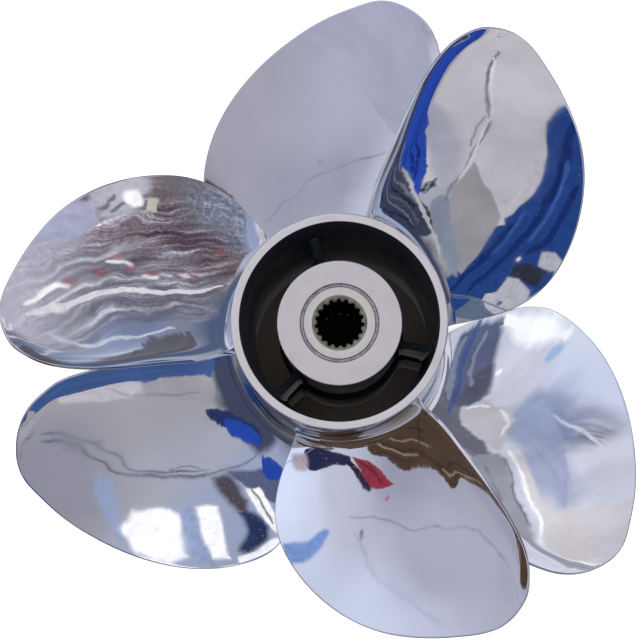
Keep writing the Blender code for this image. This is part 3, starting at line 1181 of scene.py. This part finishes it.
def cut_card(outline, colour, hang, soft, amount, strength=1.0):
    global layers_laid
    layers_laid += 1
    bm = bmesh.new()
    shade = bm.verts.layers.float_color.new("card_colour")
    rim = bmesh.ops.create_circle(bm, cap_ends=True, segments=len(outline), radius=1.0)["verts"]
    for vert, point in zip(rim, outline):
        vert.co = ragged(point, amount)
    bmesh.ops.inset_region(bm, faces=bm.faces[:], thickness=soft, use_boundary=True)
    for vert in bm.verts:
        vert[shade] = (*colour, 0.0 if vert.is_boundary else strength)
    bmesh.ops.triangulate(bm, faces=bm.faces[:])
    for _ in range(CUTTING_ROUNDS):
        long_edges = [edge for edge in bm.edges if edge.calc_length() > LONGEST_EDGE]
        if long_edges:
            bmesh.ops.subdivide_edges(bm, edges=long_edges, cuts=1)
            bmesh.ops.triangulate(bm, faces=bm.faces[:])
    for vert in bm.verts:
        vert.co = hang(vert.co.x, vert.co.y, layers_laid)
    mesh = bpy.data.meshes.new("card")
    bm.to_mesh(mesh)
    bm.free()
    cards.from_mesh(mesh)
    bpy.data.meshes.remove(mesh)


# %% Far and near
FAR_GAP = 0.1
FAR_STEP = 0.003
NEAR_STEP = 0.00002


def on_sphere(azimuth, elevation, layer):
    turn = math.radians(azimuth)
    rise = math.radians(elevation)
    level = math.cos(rise)
    out = Vector((math.cos(turn) * level, math.sin(turn) * level, math.sin(rise)))
    return out * (BACKDROP_RADIUS - FAR_GAP - FAR_STEP * layer)


def sheet(azimuth, distance):
    turn = math.radians(azimuth)
    out = Vector((math.cos(turn), math.sin(turn), 0.0))
    along = Vector((-out.y, out.x, 0.0))

    def hang(side, height, layer):
        place = out * (distance - NEAR_STEP * layer) + along * side * 0.001
        return place + Vector((0.0, 0.0, height * 0.001))

    return hang


# azimuth and distance from the shaft
right_sheet = sheet(318.0, 0.20)
upper_sheet = sheet(85.0, 0.20)
left_sheet = sheet(180.0, 0.22)


# %% A card and a round spot
SPOT_STEPS = 24


def card(outline, colour, hang=on_sphere, soft=0.4, amount=0.5, rounded=True, strength=1.0):
    count = len(outline)
    rim = []
    for i in range(count):
        corners = [Vector(outline[(i + k) % count]) for k in (-1, 0, 1, 2)]
        for step in range(RIM_STEPS):
            t = step / RIM_STEPS
            rim.append(smooth_bend(*corners, t) if rounded else corners[1].lerp(corners[2], t))
    cut_card(rim, colour, hang, soft, amount, strength)


def spot(centre, width, height, colour, hang=on_sphere, soft=0.3, amount=0.3, strength=1.0):
    rim = []
    for step in range(SPOT_STEPS):
        turn = math.tau * step / SPOT_STEPS
        side = centre[0] + width / 2 * math.cos(turn)
        rim.append((side, centre[1] + height / 2 * math.sin(turn)))
    cut_card(rim, colour, hang, soft, amount, strength)


# %% A strip along a line
def line_outline(points, width):
    along = []
    for i in range(len(points) - 1):
        picks = (max(i - 1, 0), i, i + 1, min(i + 2, len(points) - 1))
        corners = [Vector(points[pick]) for pick in picks]
        for step in range(RIM_STEPS):
            along.append(smooth_bend(*corners, step / RIM_STEPS))
    along.append(Vector(points[-1]))
    left, right = [], []
    for i, point in enumerate(along):
        lean = along[min(i + 1, len(along) - 1)] - along[max(i - 1, 0)]
        side = Vector((-lean.y, lean.x)).normalized()
        share = i / (len(along) - 1)
        taper = min(1.0, 8.0 * share + 0.25, 8.0 * (1.0 - share) + 0.25)
        swell = 0.8 + 0.6 * abs(noise.noise(Vector((point.x, point.y, 0.0)) / 3.0))
        left.append(point + side * width / 2 * taper * swell)
        right.append(point - side * width / 2 * taper * swell)
    return left + right[::-1]


def strip(points, width, colour, hang=on_sphere, amount=0.4, strength=1.0):
    cut_card(line_outline(points, width), colour, hang, width / 5, amount, strength)


# %% [markdown]
# Far cards hang in front of the sphere, and their corners are an azimuth and an elevation in
# degrees. Every blade that faces them shows them.

# %% Far: blue cloth on the left
card(
    (
        (140, 21), (147, 22), (152, 20.5), (157, 18), (159, 19), (157, 21.5), (154.5, 24),
        (150, 26.5), (140, 26),
    ),
    seen(116, 146, 198), soft=0.8,
)
card(
    (
        (150, -10), (158, -10), (165, -8), (170, -5.5), (168.5, -2.3), (161, -2.4), (154, 0.4),
        (150, -3),
    ),
    seen(42, 46, 72), soft=0.5, amount=1.0,
)
card(((143, -6), (150, -8), (152, 0), (146, 1)), seen(168, 154, 166), soft=1.8)
print("cards so far:", layers_laid)

# %% Far: deep blue cloth at the bottom, with what lies on it
CLOTH = seen(40, 66, 122)
CLOTH_FOLD = seen(27, 44, 92)
card(
    ((284, 14), (297.4, 14), (297.4, 46), (302, 50), (296, 56), (284, 50)),
    seen(184, 181, 187), soft=0.3, rounded=False,
)
card(
    (
        (304, 50), (299.0, 43.5), (294.6, 40), (290.8, 36), (289.4, 32), (290.0, 27.7),
        (291, 23.6), (290.4, 17), (289, 9), (287.5, 1), (284, -9), (262, -10), (256, 20),
        (262, 50), (284, 62),
    ),
    CLOTH, amount=0.9,
)
for points in (
    ((295, 46), (290.5, 41), (287.5, 37), (286, 33)),
    ((293, 43), (288.5, 38), (285, 33), (283.5, 29), (282, 22), (279.5, 13), (277, 4)),
    ((284, 40), (280, 35), (278, 31.5), (278.4, 26)),
    ((288, 26), (286.5, 18), (286, 10)),
    ((285, 16), (284, 6), (281, -4)),
    ((276, 42), (272, 37), (268, 34)),
):
    strip(points, 1.3, CLOTH_FOLD, amount=0.7, strength=0.8)
strip(((290, 41), (286, 37), (283, 33), (281, 27)), 0.7, seen(62, 92, 156), strength=0.8)
strip(((288, 30), (286, 24), (284.5, 17)), 0.8, seen(58, 86, 146), strength=0.8)
card(
    ((273, 27.4), (276.4, 29.4), (274.4, 32), (270.6, 33.6), (268.4, 31.8), (270, 29.8)),
    seen(172, 172, 180), rounded=False,
)
card(
    ((277.8, 22), (275.4, 25.6), (270.4, 29.6), (267.4, 25.4), (271.4, 22.4), (275.4, 19.6)),
    seen(48, 52, 64), rounded=False,
)
card(
    (
        (275.6, 19), (273.1, 22), (267.4, 24), (262, 22), (262, 14), (266.3, 11), (270.1, 7.5),
        (273.6, 10.8), (273, 15),
    ),
    seen(176, 176, 184), rounded=False,
)
card(
    ((262, 12), (268, 9), (272, 4), (270, -4), (260, -4)),
    seen(92, 106, 124), soft=1.0, amount=1.4,
)
spot((268, 15), 1.6, 2.4, seen(96, 104, 122))
spot((278.3, 23.6), 1.4, 1.8, seen(250, 250, 255))
print("cards so far:", layers_laid)

# %% Far: marks among the brown streaks, and the pale places beside them
card(
    ((60, 39), (53, 38.5), (49.3, 34.4), (53.6, 30.8), (57, 31.6), (61, 35)),
    seen(166, 170, 194), soft=0.7, amount=0.9, rounded=False, strength=0.9,
)
card(
    ((49, 36), (43.9, 34), (40.5, 29), (43.9, 26.4), (48.8, 26.8), (53, 30.2), (52.6, 32.4)),
    seen(190, 191, 203), soft=1.4, amount=1.6, strength=0.8,
)
strip(((50.5, 31), (47.6, 30), (45, 27.6), (42, 26)), 0.6, seen(112, 108, 120), amount=1.6)
strip(((51.6, 33), (49, 32.2), (46.4, 31.4)), 0.5, seen(116, 110, 118), amount=1.6)
card(
    ((45.3, 31), (43.6, 29), (45.8, 26.4), (48, 27.6), (47.6, 30.2)),
    seen(255, 255, 255), soft=0.7,
)
card(((44.1, 27), (42.6, 25), (46.1, 23.2), (47.6, 25.4)), seen(192, 186, 174), rounded=False)
strip(
    (
        (75, 36), (73.4, 32), (71.2, 28.4), (69.8, 25.8), (69.4, 21.9), (69.5, 16), (68.6, 8),
        (66.8, -1), (63, -8),
    ),
    1.2, seen(218, 215, 220), amount=1.1,
)
strip(
    ((72.4, 37.5), (70.5, 35.4), (68.8, 33.6), (68.2, 31.6)),
    0.7, seen(255, 255, 255), amount=1.0,
)
strip(
    ((78.4, 33.5), (81.4, 27), (82.3, 20), (81.6, 12.6), (81.8, 6)),
    0.6, seen(198, 203, 216), amount=1.2, strength=0.8,
)
strip(((62.5, 27), (62, 23), (62.6, 21)), 0.6, seen(232, 226, 232), amount=0.8)
strip(((64.4, 18), (64.8, 14)), 0.9, seen(240, 238, 244))
for centre, width, height, colour in (
    ((60.7, 25.3), 1.4, 2.0, (204, 96, 72)),
    ((64.9, 27.0), 2.4, 3.6, (140, 88, 92)),
    ((67.6, 31.6), 1.9, 3.0, (146, 98, 104)),
    ((63.5, 16.0), 2.2, 4.6, (128, 82, 86)),
    ((63.4, 21.4), 2.0, 3.0, (136, 90, 92)),
    ((62.8, 9.0), 2.2, 4.0, (126, 84, 88)),
    ((61.5, 4.0), 1.8, 3.6, (132, 84, 86)),
    ((48.7, 1.0), 2.2, 4.8, (132, 78, 82)),
):
    spot(centre, width, height, seen(*colour), soft=0.8, amount=1.2, strength=0.85)
print("cards so far:", layers_laid)

# %% Far: white and dark bars on the right
WHITE_BAR = seen(252, 253, 255)
card(
    (
        (323.1, 34.3), (325.6, 30.6), (328.6, 26.9), (331, 26.6), (334, 28.4), (340.4, 32.2),
        (338, 35.4), (332.4, 38), (326, 38),
    ),
    WHITE_BAR, soft=0.9, amount=0.8, rounded=False,
)
card(
    ((330, 26.6), (332, 23.4), (338.2, 26.4), (344.4, 30.2), (341, 32.4), (335.3, 29.2)),
    seen(142, 158, 192), soft=0.9, amount=0.8,
)
card(
    (
        (331.3, 23), (333, 20.6), (335.6, 19), (341.4, 22.2), (348.6, 27.4), (344, 30),
        (339.6, 27.6),
    ),
    WHITE_BAR, soft=0.9, amount=0.8, rounded=False,
)
card(
    ((327.6, 14.4), (332.8, 9.6), (340, 11.4), (344, 14.2), (344, 17), (339.7, 18), (333, 17)),
    seen(78, 72, 80), soft=1.8, amount=1.2,
)
card(
    ((341.5, 17), (346, 14), (350, 14.8), (353, 18.6), (351.4, 24.4), (348.3, 25), (346.3, 21)),
    seen(44, 56, 88), soft=1.4, amount=1.0,
)
card(
    ((329.8, 11.4), (334, 4), (339.1, 0), (348, 2), (351, 9), (343.8, 8), (336.5, 9.4)),
    seen(86, 94, 120), soft=1.4, amount=1.2,
)
card(
    ((337.6, 9.8), (341.6, 6.6), (347, 9), (352, 12), (356, 16.6), (352, 16), (344.7, 13.4)),
    WHITE_BAR, soft=0.4, rounded=False,
)
strip(((339.4, 8.4), (345, 11), (352, 14.4)), 0.5, seen(90, 92, 100))
card(
    ((356, 17), (354, 18), (352.4, 22.6), (349.4, 26), (353, 28), (358, 24)),
    WHITE_BAR, soft=0.4, amount=0.8, rounded=False,
)
print("cards so far:", layers_laid)

# %% [markdown]
# Near cards stand on three unseen sheets, each about 0.2 m from the shaft and upright. Their
# corners are millimetres to the side and up. Each blade looks at its own part of a sheet, so
# what hangs there shows on that blade alone: a thin crack on one blade doesn't cross the crack
# on its neighbour.

# %% Right sheet: upper right aft blade
STRIP_BLUE = seen(42, 70, 156)
card(
    (
        (16, 226), (60, 250), (84, 240), (98, 262), (116, 288), (132, 320), (146, 356),
        (162, 392), (166, 456), (130, 470), (100, 456), (86, 432), (84, 402), (71, 370),
        (50, 336), (31, 300), (20, 276), (9, 258), (0, 248),
    ),
    seen(187, 184, 189), right_sheet, soft=0.9, amount=1.2,
)
card(
    (
        (152, 304), (160, 352), (132, 356), (108, 338), (82, 300), (60, 262), (46, 234),
        (62, 230), (92, 260), (118, 294),
    ),
    seen(158, 159, 173), right_sheet, soft=7.0, amount=1.0, strength=0.85,
)
card(
    ((62, 236), (36, 226), (12, 200), (-4, 182), (6, 168), (34, 178), (50, 198), (64, 214)),
    seen(118, 124, 142), right_sheet, soft=3.0, amount=2.0, strength=0.85,
)
card(
    (
        (70, 292), (42, 271), (8, 254), (-10, 224), (-34, 186), (-50, 159), (-22, 158),
        (17, 190), (46, 224), (62, 250),
    ),
    seen(146, 144, 147), right_sheet, soft=0.8, amount=0.8, rounded=False,
)
card(
    ((34, 196), (33, 208), (1, 196), (-38, 168), (-50, 146), (-5, 156)),
    seen(126, 139, 152), right_sheet, soft=7.0, amount=3.0,
)
card(
    (
        (84, 224), (93, 246), (99, 266), (110, 284), (124, 312), (134, 334), (156, 330),
        (192, 286), (208, 226), (190, 204), (168, 206), (139, 241), (117, 254), (101, 237),
    ),
    STRIP_BLUE, right_sheet, soft=1.2, amount=2.0,
)
for points in (
    ((100, 242), (110, 266), (120, 288), (138, 316)),
    ((108, 252), (118, 270), (132, 290), (148, 312)),
    ((124, 258), (136, 276), (150, 296)),
):
    strip(points, 2.4, seen(26, 42, 112), right_sheet, amount=2.0, strength=0.9)
card(
    (
        (147, 224), (118, 253), (101, 237), (80, 220), (62, 210), (48, 200), (30, 178),
        (54, 157), (111, 160), (150, 168), (200, 180), (196, 204),
    ),
    seen(60, 66, 84), right_sheet, soft=1.6, amount=2.5,
)
for points, colour in (
    (((150, 190), (120, 196), (90, 190), (60, 176)), (96, 104, 124)),
    (((160, 200), (128, 216), (100, 214), (72, 200)), (36, 42, 60)),
    (((140, 214), (118, 232), (96, 222), (72, 208)), (104, 110, 120)),
    (((140, 172), (108, 180), (80, 180), (56, 170)), (40, 46, 68)),
    (((170, 186), (140, 184), (112, 170)), (54, 62, 124)),
    (((120, 206), (96, 206), (74, 194), (56, 182)), (82, 88, 100)),
):
    strip(points, 3.0, seen(*colour), right_sheet, amount=3.0)
spot((81, 240), 15, 30, seen(52, 56, 68), right_sheet, soft=3.0, amount=4.0)
strip(((86, 250), (80, 238), (78, 226)), 1.6, seen(120, 124, 134), right_sheet, amount=3.0)
strip(
    ((122, 254), (104, 240), (88, 223), (55, 196), (24, 176), (-2, 158)),
    3.4, seen(176, 176, 178), right_sheet, amount=2.5,
)
strip(
    ((132, 426), (114, 384), (94, 349), (85, 325), (77, 299), (69, 277), (65, 254), (54, 228)),
    1.7, seen(106, 104, 108), right_sheet, amount=0.9,
)
strip(
    ((129, 418), (112, 386), (96, 356), (91, 338), (81, 312), (71, 286), (66, 262)),
    1.2, seen(208, 206, 208), right_sheet, amount=0.9,
)
strip(
    ((98, 350), (95, 335), (90, 320), (84, 306)),
    1.0, seen(120, 118, 122), right_sheet, amount=0.9,
)
print("cards so far:", layers_laid)

# %% Right sheet: lower left forward blade
card(
    (
        (-300, 50), (-172, 70), (-174, 92), (-184, 127), (-194, 162), (-199, 196), (-220, 217),
        (-231, 246), (-240, 264), (-300, 270),
    ),
    seen(64, 86, 132), right_sheet, soft=3.0, amount=2.0,
)
card(
    (
        (-199, 201), (-194, 162), (-181, 115), (-165, 75), (-137, 66), (-126, 80), (-146, 113),
        (-164, 147), (-180, 184),
    ),
    seen(150, 149, 154), right_sheet, soft=1.6, amount=1.0, strength=0.8,
)
strip(
    (
        (-214, 354), (-211, 344), (-207, 334), (-197, 311), (-187, 290), (-175, 262),
        (-161, 241), (-146, 220), (-130, 199), (-113, 174), (-92, 137), (-70, 100),
    ),
    0.9, seen(100, 104, 118), right_sheet, amount=0.5,
)
strip(
    (
        (-209, 353), (-205, 340), (-193, 312), (-181, 287), (-167, 265), (-151, 241),
        (-137, 216), (-117, 185), (-90, 139), (-70, 107), (-56, 84), (-37, 54), (-20, 16),
    ),
    1.3, seen(96, 100, 116), right_sheet, amount=0.5,
)
strip(
    ((-148, 232), (-134, 209), (-114, 178), (-86, 134), (-66, 104)),
    0.9, seen(128, 134, 154), right_sheet, amount=0.5,
)
strip(((-106, 160), (-84, 118), (-58, 100)), 0.8, seen(126, 130, 146), right_sheet, amount=1.2)
strip(
    ((-228, 262), (-215, 250), (-199, 226), (-182, 181), (-168, 147), (-157, 113), (-148, 90)),
    0.9, seen(110, 110, 122), right_sheet, amount=1.2,
)
card(
    (
        (-122, 88), (-104, 54), (-70, 20), (-40, 2), (-26, 10), (-34, 24), (-62, 40),
        (-90, 68), (-107, 82),
    ),
    seen(42, 54, 94), right_sheet, soft=1.6, amount=3.0,
)
card(
    ((-93, 58), (-78, 36), (-65, 24), (-44, 10), (-30, 6), (-28, 18), (-52, 38), (-79, 59)),
    STRIP_BLUE, right_sheet, soft=1.2, amount=3.0,
)
card(
    ((-15, 18), (6, 4), (22, 6), (12, 26), (-10, 36)),
    STRIP_BLUE, right_sheet, soft=1.2, amount=3.0,
)
card(
    (
        (-157, 263), (-147, 236), (-131, 228), (-119, 230), (-111, 236), (-120, 247),
        (-130, 256), (-145, 262),
    ),
    seen(134, 154, 190), right_sheet, soft=9.0, amount=1.0, strength=0.6,
)
print("cards so far:", layers_laid)

# %% Left sheet: lower aft blade
BROWN = seen(75, 62, 54)
card(
    (
        (60, 90), (59, 144), (80, 168), (92, 192), (106, 212), (131, 229), (148, 250),
        (156, 276), (162, 297), (184, 280), (213, 219), (240, 158), (254, 60), (180, 30),
        (120, 40),
    ),
    BROWN, left_sheet, soft=2.4, amount=2.4,
)
for points, width, colour in (
    (((60, 112), (84, 146), (106, 178), (130, 204), (152, 246)), 4.0, (64, 52, 44)),
    (((60, 100), (88, 134), (112, 164), (138, 190), (158, 226)), 2.6, (134, 118, 102)),
    (((64, 92), (94, 120), (120, 146), (148, 168), (168, 196)), 3.6, (60, 48, 42)),
    (((72, 84), (104, 106), (132, 126), (170, 146)), 2.6, (142, 124, 106)),
    (((84, 74), (118, 88), (150, 100), (178, 110)), 4.0, (60, 50, 44)),
    (((90, 62), (130, 72), (176, 82)), 2.6, (124, 108, 92)),
    (((66, 128), (88, 160), (110, 190), (134, 214)), 2.4, (146, 128, 110)),
    (((62, 138), (84, 168), (100, 192), (128, 218)), 1.8, (66, 54, 46)),
    (((148, 240), (160, 270), (176, 262), (204, 206), (232, 150)), 3.0, (62, 52, 46)),
    (((156, 262), (166, 286), (190, 262), (216, 200), (240, 140)), 2.2, (138, 122, 104)),
    (((150, 232), (170, 200), (196, 160), (220, 110)), 3.4, (74, 62, 54)),
    (((140, 204), (162, 174), (186, 136), (210, 80)), 2.6, (56, 46, 42)),
):
    strip(points, width, seen(*colour), left_sheet, amount=1.8, strength=0.85)
card(
    ((25, 134), (50, 154), (70, 184), (88, 222), (68, 212), (55, 200), (41, 173)),
    seen(138, 54, 68), left_sheet, soft=1.4, amount=1.2, rounded=False,
)
strip(
    ((36, 148), (54, 172), (72, 206)),
    3.0, seen(104, 44, 58), left_sheet, amount=1.6, strength=0.8,
)
strip(((20, 140), (38, 172), (56, 204)), 5.0, seen(44, 40, 58), left_sheet, amount=1.0)
spot((76, 231), 7, 8, seen(160, 112, 134), left_sheet, soft=1.6, amount=1.6)
spot((48, 254), 6, 14, seen(112, 118, 150), left_sheet, soft=1.2, amount=2.0)
strip(
    (
        (34, 225), (56, 239), (73, 257), (86, 273), (98, 291), (115, 306), (130, 328),
        (147, 346), (159, 374), (166, 412), (172, 433),
    ),
    1.2, seen(132, 136, 154), left_sheet, amount=1.6,
)
strip(
    ((40, 246), (51, 273), (69, 315), (87, 347), (103, 385), (114, 414)),
    1.0, seen(168, 174, 196), left_sheet, amount=1.4,
)
print("cards so far:", layers_laid)

# %% Left sheet: top forward blade
card(
    ((-206, 340), (-140, 320), (-126, 270), (-138, 214), (-158, 186), (-206, 180)),
    seen(161, 162, 182), left_sheet, soft=14.0, amount=1.0, strength=0.9,
)
strip(
    (
        (-134, 149), (-105, 128), (-74, 109), (-56, 98), (-32, 83), (-12, 68), (11, 58),
        (35, 44), (56, 37),
    ),
    1.5, seen(136, 137, 152), left_sheet, amount=1.2,
)
spot((-57, 111), 8, 6, seen(128, 134, 166), left_sheet, soft=1.2, amount=1.6)
print("cards so far:", layers_laid)

# %% Upper sheet: lower right forward blade
card(
    (
        (-320, -70), (10, -70), (10, 96), (-60, 104), (-126, 108), (-144, 130), (-150, 180),
        (-150, 330), (-320, 340),
    ),
    seen(196, 200, 214), upper_sheet, soft=14.0, amount=3.0,
)
spot((-128, 112), 66, 74, seen(134, 146, 172), upper_sheet, soft=18.0, amount=5.0, strength=0.8)
card(
    (
        (-104, 108), (-126, 134), (-146, 161), (-166, 193), (-186, 226), (-206, 252),
        (-222, 244), (-213, 204), (-194, 173), (-174, 141), (-154, 114), (-132, 88),
    ),
    seen(146, 155, 184), upper_sheet, soft=10.0, amount=2.0, strength=0.75,
)
card(
    ((-14, 20), (-23, 51), (-45, 87), (-70, 104), (-66, 80), (-53, 49), (-34, 28)),
    seen(246, 249, 255), upper_sheet, soft=8.0, amount=3.0, strength=0.9,
)
card(
    (
        (-73, -44), (-12, -44), (-1, -22), (-14, 22), (-27, 26), (-61, 31), (-98, 48),
        (-112, 44), (-127, 30), (-124, -10),
    ),
    seen(88, 96, 122), upper_sheet, soft=7.0, amount=3.0,
)
card(
    ((-60, 28), (-98, 46), (-112, 42), (-120, 22), (-96, 4), (-70, 6)),
    seen(80, 80, 92), upper_sheet, soft=7.0, amount=3.0, strength=0.8,
)
card(
    (
        (-84, -50), (-100, 0), (-112, 22), (-127, 30), (-148, 46), (-158, 74), (-166, 104),
        (-186, 110), (-190, 60), (-180, 10), (-154, -40), (-120, -64),
    ),
    seen(86, 85, 98), upper_sheet, soft=5.0, amount=4.0, strength=0.9,
)
strip(
    ((0, -8), (-25, -20), (-62, -20), (-109, 2), (-144, 12)),
    6.0, seen(62, 82, 138), upper_sheet, amount=2.0, strength=0.8,
)
strip(
    ((-20, 4), (-40, -4), (-66, -2), (-90, 14)),
    4.0, seen(134, 142, 164), upper_sheet, amount=2.0, strength=0.7,
)
strip(
    ((-12, -30), (-44, -36), (-84, -24), (-120, -4)),
    6.0, seen(128, 138, 160), upper_sheet, amount=2.0, strength=0.7,
)
spot((-74, 39), 9, 9, seen(240, 243, 250), upper_sheet, soft=2.0, amount=1.6)
card(
    (
        (-129, 27), (-108, 45), (-114, 64), (-116, 83), (-128, 100), (-146, 108), (-170, 122),
        (-168, 106), (-160, 72), (-150, 44),
    ),
    seen(182, 180, 186), upper_sheet, soft=3.0, amount=3.0,
)
strip(((-124, 34), (-116, 48), (-118, 60)), 3.0, seen(222, 222, 226), upper_sheet, amount=2.0)
strip(((-120, 76), (-134, 96), (-150, 104)), 2.2, seen(226, 226, 230), upper_sheet, amount=2.0)
card(
    (
        (-160, 40), (-166, 76), (-174, 116), (-192, 146), (-204, 150), (-200, 116), (-192, 70),
        (-180, 40),
    ),
    seen(108, 107, 118), upper_sheet, soft=5.0, amount=3.0, strength=0.9,
)
card(
    (
        (-172, 128), (-190, 160), (-212, 200), (-238, 250), (-268, 300), (-262, 230),
        (-240, 170), (-214, 120), (-190, 104),
    ),
    seen(148, 150, 160), upper_sheet, soft=4.0, amount=3.0,
)
strip(
    ((-194, 128), (-214, 164), (-238, 214), (-262, 262)),
    2.2, seen(110, 111, 122), upper_sheet, amount=3.0, strength=0.8,
)
card(
    (
        (-164, 132), (-176, 166), (-196, 200), (-214, 244), (-240, 310), (-262, 320),
        (-240, 262), (-212, 208), (-190, 168), (-170, 133),
    ),
    seen(204, 201, 203), upper_sheet, soft=6.0, amount=1.0,
)
card(
    ((-206, 240), (-200, 290), (-222, 330), (-270, 330), (-262, 300), (-236, 262)),
    seen(196, 190, 192), upper_sheet, soft=12.0, amount=4.0, strength=0.8,
)
strip(
    ((-166, 128), (-188, 168), (-210, 208), (-234, 255), (-260, 296)),
    1.7, seen(250, 250, 252), upper_sheet, amount=1.0,
)
strip(
    ((-176, 132), (-195, 166), (-217, 204), (-240, 250)),
    1.4, seen(112, 112, 124), upper_sheet, amount=1.2,
)
card(
    ((-77, 84), (-68, 85), (-69, 97), (-76, 99), (-80, 93)),
    seen(150, 182, 222), upper_sheet, soft=3.0, amount=1.0, strength=0.9,
)
print("cards so far:", layers_laid)

# %% Upper sheet: left aft blade
card(
    (
        (142, 196), (122, 246), (98, 262), (84, 252), (74, 226), (68, 197), (86, 198),
        (100, 204), (116, 190), (138, 166),
    ),
    seen(86, 83, 88), upper_sheet, soft=4.0, amount=5.0, strength=0.85,
)
print("cards so far:", layers_laid)

# %% Cards into the scene
card_paint, tree = new_paint("card_paint")
colours = add_node(tree, "Attribute", attribute_name="card_colour").outputs
uneven = noise_of(tree, add_node(tree, "TexCoord").outputs["Object"], 14.0, 5.0, rough=0.6)
light = range_of(tree, uneven, 0.3, 0.7, 0.82, 1.16)
glow = add_node(tree, "Emission", Color=laid_over(tree, colours["Color"], 1.0, light, "MULTIPLY"))
clear = add_node(tree, "BsdfTransparent")
join = add_node(tree, "MixShader", Fac=colours["Alpha"])
for socket, surface in zip(join.inputs[1:], (clear.outputs["BSDF"], glow.outputs["Emission"])):
    feed(tree, socket, surface)
add_node(tree, "OutputMaterial", Surface=join.outputs["Shader"])
hung = hidden_stage("backdrop_cards", cards, card_paint)
hung.visible_diffuse = False
print("cards, strips and spots:", layers_laid)

# %% [markdown]
# The world is plain white, and one large round softbox hangs over the set. The steel doesn't
# mirror the softbox, so its disc doesn't show on a blade.

# %% Lights and world
SOFTBOX_SIZE = 2.4
SOFTBOX_HEIGHT = 2.4
SOFTBOX_WATTS = 40.0

world = bpy.data.worlds.new("studio")
world.use_nodes = True
feed_all(
    world.node_tree, world.node_tree.nodes["Background"], Color=(1.0, 1.0, 1.0), Strength=1.0
)
bpy.context.scene.world = world

softbox_data = bpy.data.lights.new("overhead_softbox", "AREA")
softbox_data.shape = "DISK"
softbox_data.size = SOFTBOX_SIZE
softbox_data.energy = SOFTBOX_WATTS
softbox = bpy.data.objects.new("overhead_softbox", softbox_data)
softbox.location = (0.0, 0.0, SOFTBOX_HEIGHT)
softbox.visible_glossy = False
bpy.context.scene.collection.objects.link(softbox)
print("softbox:", SOFTBOX_SIZE, "m across,", SOFTBOX_WATTS, "W")

# %% [markdown]
#
# The box of the finished pieces is set against the box of the imported model, and how far it
# grew at the top corner is printed.

# %% Keep both boxes
low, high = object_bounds()
grown = [round((after - before) * 1000, 2) for before, after in zip(cad_high, high)]
print("box grew by", grown, "mm at the top corner")
